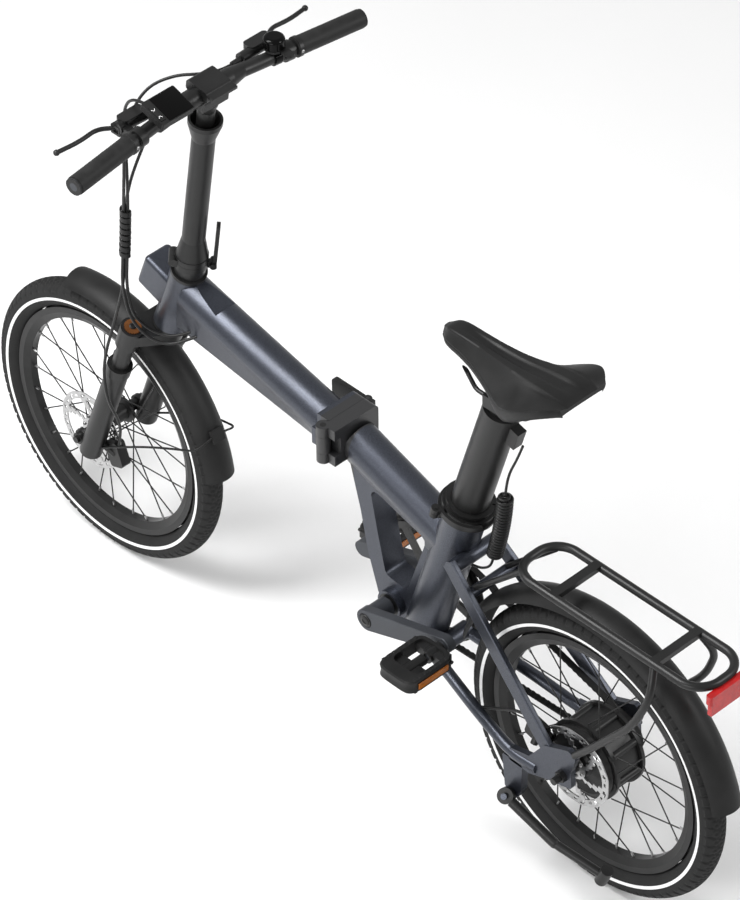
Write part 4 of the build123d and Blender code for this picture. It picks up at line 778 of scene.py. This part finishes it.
def nipples(name, centre, body):
    """Spoke nipples on the inner face of the rim."""
    spokes, rim_inner = 28, 0.1838
    parts = []
    for i in range(spokes):
        a = TAU * i / spokes
        side = 1 if i % 2 else -1
        out = Vector((math.cos(a), 0, math.sin(a)))
        axis = (out + Y * side * -0.10).normalized()
        start = centre + out * rim_inner + Y * side * 0.0025 - axis * 0.008
        profile = [(0.0, 0.0), (0.0016, 0.0), (0.0019, 0.0015), (0.0021, 0.0085), (0.0, 0.0085)]
        parts.append(lathe("nipple", start, profile, "machined", 8, axis, 30, False))
    piece = joined(name, parts)
    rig.ride(piece, body)
    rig.slot(piece, "steel")


nipples("rear_nipples", REAR, "rear_wheel")
nipples("front_nipples", FRONT, "front_wheel")


def rotor(name, centre, node, body):
    """A brake disc with a wavy edge, slots, curved arms and six bolts."""
    place = Vector((centre.x, middle(node).y, centre.z))
    thickness, bolts, bolt_ring = 0.0018, 6, 0.0165
    rings = [0.0092, 0.0215, 0.030, 0.040, 0.050, 0.0570, 0.0595, 0.0640, 0.0665, 0.0695]

    def keep(i, a):
        if i == 0:
            return True
        if i <= 4:
            r = (rings[i] + rings[i + 1]) / 2
            turn = (a - 14 * (r - 0.02)) % (TAU / 6)
            return turn < 0.26 - 1.6 * (r - 0.02)
        if i == 6:
            return (a % (TAU / 24)) > 0.10
        if i == 7:
            return ((a + 0.06) % (TAU / 12)) > 0.12
        return True

    def wave(i, r, a):
        return r + 0.0005 * math.cos(12 * a) if i == len(rings) - 1 else r

    parts = [polar_plate(name, place, rings, 288, keep, thickness, "steel", wave)]
    for k in range(bolts):
        a = TAU * (k + 0.3) / bolts
        spot = place + Vector((math.cos(a), 0, math.sin(a))) * bolt_ring + Y * thickness / 2
        parts.append(bolt("bolt", spot, Y, 0.0032, 0.0026, "machined"))
    piece = joined(name, parts)
    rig.ride(piece, body)
    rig.replaces(piece, node)
    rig.slot(piece, "steel")


rotor("rear_disc", REAR, "rear_rotor", "rear_wheel")
rotor("front_disc", FRONT, "front_rotor", "front_wheel")


# ------------------------------------------------------------------ drive belt
def belt():
    """A toothed belt round the two sprockets."""
    big, small, gap, thick = 0.102, 0.034, 0.0005, 0.0034
    half, tooth_depth, pitch = 0.0051, 0.0012, 0.0027
    a = middle("front_sprocket")
    front = Vector((a.x, middle("drive_belt").y, a.z))
    rear = Vector((REAR.x, front.y, REAR.z))
    d = rear - front
    span = d.length
    dirn = d.normalized()
    up = Y.cross(dirn).normalized()
    if up.z < 0:
        up = -up
    lean = math.acos((big - small) / span)
    line = []
    for k in range(97):
        t = lean + (TAU - 2 * lean) * k / 96
        out = dirn * math.cos(t) + up * math.sin(t)
        line.append((front + out * (big + gap), out))
    for k in range(65):
        t = -lean + 2 * lean * k / 64
        out = dirn * math.cos(t) + up * math.sin(t)
        line.append((rear + out * (small + gap), out))
    fine = []
    for (p, n), (q, m) in zip(line, line[1:] + line[:1]):
        steps = max(1, round((q - p).length / pitch))
        for k in range(steps):
            t = k / steps
            fine.append((p.lerp(q, t), n.lerp(m, t).normalized()))
    verts = []
    for i, (p, n) in enumerate(fine):
        tooth = 0.0 if i % 4 < 2 else tooth_depth
        for along_out, y in ((tooth, -half), (tooth, half), (thick + gap, half), (thick + gap, -half)):
            verts.append(p + n * along_out + Y * y)
    faces = grid_faces(len(fine), 4, True, True)
    piece = mesh_object("toothed_belt", verts, faces, "tyre_rubber", 30)
    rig.ride(piece, "root")
    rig.replaces(piece, "drive_belt")
    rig.slot(piece, "rubber")


belt()


# ------------------------------------------------------------------ saddle
def saddle():
    """The padded saddle: a raised spine with a groove, flanks that fall to the wings, a hard lower edge."""
    low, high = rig.box("saddle")
    tail, base = low.x * 1000, low.z * 1000
    # from the tail: plateau half width, plateau height, edge half width, seam height, skirt
    shape = [(0, 30, 67, 44, 72, 13), (10, 33, 71, 58, 74, 15), (28, 34, 73, 70, 70, 17),
             (48, 33, 72, 74.5, 60, 19), (68, 31, 70, 75, 48, 22), (88, 28.5, 67, 71, 37, 25),
             (108, 25, 64, 62, 25, 25), (128, 22, 62, 52, 18, 20), (150, 19.5, 61, 42, 22, 14),
             (175, 17.5, 60.5, 34, 28, 14), (200, 16.5, 60.5, 28, 34, 14), (225, 16, 60.5, 25, 38, 13),
             (248, 15, 59.5, 22.5, 39, 12), (262, 12, 56, 18, 38, 10), (272, 4, 47, 7, 36, 6)]
    xs = [row[0] for row in shape]
    stations, across = 76, 65
    end = xs[-1]

    def soft(k, x):
        reach = [min(max(x + d, 0), end) for d in (-7, -3.5, 0, 3.5, 7)]
        return float(np.interp(reach, xs, [row[k] for row in shape]).mean())

    verts = []
    for i in range(stations):
        even = i / (stations - 1)
        x = end * (0.5 - 0.5 * math.cos(math.pi * even)) * 0.35 + end * even * 0.65
        flat, top, edge, seam, skirt = (soft(k, x) for k in range(1, 6))
        fade = min(1, max(0, (x - 8) / 30)) * min(1, max(0, (236 - x) / 60))
        for j in range(across):
            side = -1 + 2 * j / (across - 1)
            w = abs(side)
            if w < 0.34:
                q = w / 0.34
                y = flat * q
                z = top - 1.2 * q ** 3
                z -= 3.6 * fade * max(0.0, 1 - (y / (0.30 * flat + 2.5)) ** 4)
            elif w < 0.74:
                q = (w - 0.34) / 0.40
                y = flat + (edge - flat) * q ** 0.96
                z = top - 1.2 + (seam - top + 1.2) * q ** 0.72
                z -= 2.0 * math.exp(-((q - 0.02) / 0.05) ** 2) * fade
            elif w < 0.80:
                q = (w - 0.74) / 0.06
                y = edge - 1.0 * math.sin(math.pi * q)
                z = seam - 1.5 * q
            else:
                q = (w - 0.80) / 0.20
                y = edge + 0.8 * math.sin(math.pi * q * 0.8) - 5.0 * q ** 3
                z = seam - 1.5 - skirt * q
            verts.append(Vector(((tail + x) / 1000, math.copysign(y, side) / 1000, (base + z) / 1000)))
    faces = grid_faces(stations, across)
    under = len(verts)
    for i in range(stations):
        rim = verts[i * across]
        for j in range(across):
            side = -1 + 2 * j / (across - 1)
            p = verts[i * across + j]
            y = p.y if abs(p.y) < abs(rim.y) * 0.96 else math.copysign(rim.y * 0.96, side)
            verts.append(Vector((p.x, y, min(rim.z + 0.003 * (1 - side * side), p.z - 0.002))))
    faces += [tuple(under + k for k in f) for f in grid_faces(stations, across)]
    for i in range(stations - 1):
        for j in (0, across - 1):
            a, b = i * across + j, (i + 1) * across + j
            faces.append((a, b, under + b, under + a))
    for j in range(across - 1):
        for i in (0, stations - 1):
            a, b = i * across + j, i * across + j + 1
            faces.append((a, b, under + b, under + a))
    piece = mesh_object("saddle_pad", verts, faces, "leather", 50)
    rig.ride(piece, "seat")
    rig.replaces(piece, "saddle")
    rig.slot(piece, "leather")
    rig.padded(piece, fill=0.8)


saddle()


# ------------------------------------------------------------------ pedals
def pedal(side_name, side):
    """A folding pedal: a rounded frame, a plate, stepped rails and amber reflectors."""
    low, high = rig.box(f"{side_name}_pedal_cage")
    c = (low + high) / 2
    half_x, half_y, half_z = (high - low) / 2
    count = 72

    def loop(hx, hy, cy, z, power):
        out = []
        for k in range(count):
            a = TAU * k / count
            x = math.copysign(abs(math.cos(a)) ** (2 / power), math.cos(a)) * hx
            y = math.copysign(abs(math.sin(a)) ** (2 / power), math.sin(a)) * hy
            out.append(Vector((c.x + x, cy + y, c.z + z)))
        return out

    hole_y = c.y - side * 0.008
    # how far each loop is inside the outline in X and Y, its middle in Y, its height and its squareness
    rows = ((0.002, 0.002, c.y, half_z, 5), (0, 0, c.y, half_z - 0.003, 5), (0.0012, 0.0012, c.y, 0.002, 5),
            (0.0012, 0.0012, c.y, -0.002, 5), (0, 0, c.y, 0.003 - half_z, 5), (0.002, 0.002, c.y, -half_z, 5),
            (0.010, 0.016, hole_y, -half_z, 6), (0.010, 0.016, hole_y, half_z, 6))
    loops = [loop(half_x - dx, half_y - dy, *rest) for dx, dy, *rest in rows]
    parts = [mesh_object("frame", [v for ring in loops for v in ring],
                         grid_faces(len(loops), count, True, True), "black_plastic", 30)]
    parts.append(block("plate", Vector((c.x, c.y + side * 0.018, c.z)), (2 * half_x - 0.018, 0.036, 0.008),
                       "black_plastic", 0.0015))
    tube_start, tube_end = c.y - side * (half_y - 0.031), c.y + side * (half_y - 0.012)
    reach = abs(tube_end - tube_start)
    parts.append(lathe("tube", Vector((c.x, tube_start, c.z)),
                       [(0.0065, 0.0), (0.009, 0.001), (0.009, reach), (0.0065, reach)],
                       "black_plastic", 32, Y * side))
    for end in (1, -1):
        for k in range(7):
            y = c.y + side * (-half_y + 0.016 + 0.011 * k)
            for up in (1, -1):
                parts.append(block("step", Vector((c.x + end * (half_x - 0.005), y, c.z + up * half_z)),
                                   (0.0055, 0.006, 0.0016), "black_plastic", 0.0004, None, 1))
        parts.append(block("lens", Vector((c.x + end * (half_x + 0.0002), c.y, c.z)), (0.0022, 0.062, 0.011),
                           "amber_lens", 0.0006, None, 1))
    piece = joined(f"{side_name}_pedal_frame", parts)
    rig.ride(piece, f"{side_name}_cage")
    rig.replaces(piece, f"{side_name}_pedal_cage")
    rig.slot(piece, "black_plastic")


pedal("left", 1)
pedal("right", -1)


# ------------------------------------------------------------------ small fittings
HEAD_X, HEAD_Z, HEAD_LEAN = 922, 550, math.radians(19.9)


def along_head(u, y, w):
    """A point in the frame of the leaning steering axis: u ahead of it and w up along it."""
    sin, cos = math.sin(HEAD_LEAN), math.cos(HEAD_LEAN)
    return at(HEAD_X + u * cos - w * sin, y, HEAD_Z + u * sin + w * cos)


def crown_cap():
    """The knurled orange-brown adjuster on top of the left fork leg."""
    axis = (along_head(25, 60, 0) - along_head(25, 60, -10)).normalized()
    knurled = polar_plate("crown_cap", along_head(25, 60, -5), [0.003, 0.0135], 72, lambda i, a: True,
                          0.007, "crown_orange", lambda i, r, a: r + (0.0006 * math.cos(24 * a) if i else 0),
                          axis)
    top = bolt("cap_bolt", along_head(25, 60, -1.6), axis, 0.006, 0.002, "black_metal")
    piece = joined("fork_adjuster", [knurled, top])
    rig.ride(piece, "steering")
    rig.slot(piece, "steel")


crown_cap()


def screen():
    """The glossy screen on the display, and the two arrows on its keys."""
    low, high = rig.box("display_keys")
    keys = (low + high) / 2
    tilt = Matrix.Rotation(math.radians(-18), 4, "Y")
    up = tilt @ Vector((0, 0, 1))
    ahead = tilt @ Vector((1, 0, 0))
    case = keys + ahead * 0.003 - Y * 0.025 - up * 0.0045
    glass = block("display_glass", case + up * 0.0062 - Y * 0.0065, (0.046, 0.047, 0.0012), "gloss_black",
                  0.0005, tilt)
    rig.ride(glass, "bar")
    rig.slot(glass, "gloss_black")
    marks = []
    for end in (1, -1):
        for arm in (1, -1):
            turn = tilt @ Matrix.Rotation(math.radians(38 * arm * end), 4, "Z")
            spot = keys + ahead * end * 0.0075 + Y * 0.0018 * arm + up * 0.0019
            marks.append(block("arrow", spot, (0.0048, 0.0008, 0.0005), "reflective_stripe", 0.0001, turn, 1))
    arrows = joined("display_arrows", marks)
    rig.ride(arrows, "keys")
    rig.slot(arrows, "black_plastic")


screen()


BAR_X, BAR_Z = 817.96, 1050.07      # where the bar starts to sweep back and down
BAR_BACK, BAR_DOWN = 25.4, 7
BAR_BEND, GRIP_START, BAR_END = 62, 164, 288


def grip_fittings():
    """Lock rings with their bolts, and flat grey caps, on both grips."""
    part = (GRIP_START - BAR_BEND) / (BAR_END - BAR_BEND)
    for side, name in ((1, "left"), (-1, "right")):
        near = at(BAR_X - BAR_BACK * part, side * GRIP_START, BAR_Z - BAR_DOWN * part)
        far = at(BAR_X - BAR_BACK, side * BAR_END, BAR_Z - BAR_DOWN)
        axis = (far - near).normalized()
        lock = lathe("ring", near + axis * 0.001,
                     [(0.0152, 0), (0.0168, 0.0008), (0.0168, 0.0072), (0.0152, 0.008)],
                     "black_metal", 48, axis)
        out = axis.cross(Vector((0, 0, 1))).normalized() * side
        spot = near + axis * 0.005 - out * 0.0166 + Vector((0, 0, 0.001))
        screw = bolt("screw", spot, -out, 0.0028, 0.0016)
        cap = lathe("cap", far + axis * 0.0026,
                    [(0.0, 0.0), (0.0135, 0.0), (0.0146, 0.0005), (0.0140, 0.0018), (0.0, 0.0020)],
                    "crank_grey", 40, axis, 35, False)
        piece = joined(f"{name}_grip_fittings", [lock, screw, cap])
        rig.ride(piece, "bar")
        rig.slot(piece, "rubber")


grip_fittings()


def crank_caps():
    """The bolt in each crank's end, with its washer."""
    centre, furthest = middle("bottom_bracket"), 0.084
    for name, side in (("left", 1), ("right", -1)):
        low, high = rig.box(f"{name}_crank")
        face = abs(high.y if side > 0 else low.y)
        spot = Vector((centre.x, side * min(face, furthest), centre.z))
        piece = joined(f"{name}_crank_bolt", [
            lathe("washer", spot, [(0.0, 0.0), (0.0115, 0.0), (0.0110, 0.0008), (0.0, 0.0008)],
                  "black_metal", 40, Y * side, 35, False),
            bolt("bolt", spot + Y * side * 0.0006, Y * side, 0.0085, 0.0018, "black_metal")])
        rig.ride(piece, "cranks")
        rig.slot(piece, "black_metal")


crank_caps()


# ------------------------------------------------------------------ stage, lights and camera
bpy.ops.mesh.primitive_plane_add(size=40, location=(0, 0, -0.0005))
floor = bpy.context.object
floor.name = "floor"
floor.data.materials.append(MATS["floor_white"])
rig.stage(floor)

world = bpy.data.worlds.new("studio")
world.use_nodes = True
background = world.node_tree.nodes["Background"].inputs
background["Color"].default_value = (1, 1, 1, 1)
background["Strength"].default_value = 0.55
bpy.context.scene.world = world


def softbox(name, place, target, size, power):
    light = bpy.data.lights.new(name, "AREA")
    light.shape = "RECTANGLE"
    light.size, light.size_y = size
    light.energy = power
    obj = bpy.data.objects.new(name, light)
    bpy.context.scene.collection.objects.link(obj)
    obj.location = place
    obj.rotation_euler = (Vector(target) - Vector(place)).to_track_quat("-Z", "Y").to_euler()


softbox("key_light", (1.3, 1.6, 3.2), (0, 0, 0.5), (1.3, 2.2), 150)
softbox("left_light", (-0.9, 3.4, 1.6), (0, 0, 0.5), (2.2, 0.9), 45)
softbox("rear_light", (-3.0, -1.6, 2.6), (0, 0, 0.6), (1.0, 1.6), 55)


def main_camera():
    """A long lens from behind on the left, looking down at the whole bicycle."""
    azimuth, elevation, roll = math.radians(-43.87), math.radians(40.78), math.radians(-0.77)
    place = at(-3977, 4287.5, 5886)
    ahead = Vector((math.cos(elevation) * math.cos(azimuth), math.cos(elevation) * math.sin(azimuth),
                    -math.sin(elevation)))
    level = ahead.cross(Vector((0, 0, 1))).normalized()
    rise = level.cross(ahead)
    right = level * math.cos(roll) + rise * math.sin(roll)
    up = rise * math.cos(roll) - level * math.sin(roll)
    cam = bpy.data.cameras.new("camera")
    cam.lens = 216.9
    cam.sensor_width = 36
    cam.clip_end = 100
    obj = bpy.data.objects.new("camera", cam)
    bpy.context.scene.collection.objects.link(obj)
    turn = Matrix((right, up, -ahead)).transposed().to_4x4()
    obj.matrix_world = Matrix.Translation(place) @ turn
    bpy.context.scene.camera = obj


main_camera()
bpy.context.scene.view_settings.view_transform = "Standard"

bpy.context.view_layer.update()
visual_box = [list(c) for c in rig.bounds()]
json.dump({"cad": cad_box, "visual": visual_box}, open("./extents.json", "w"))
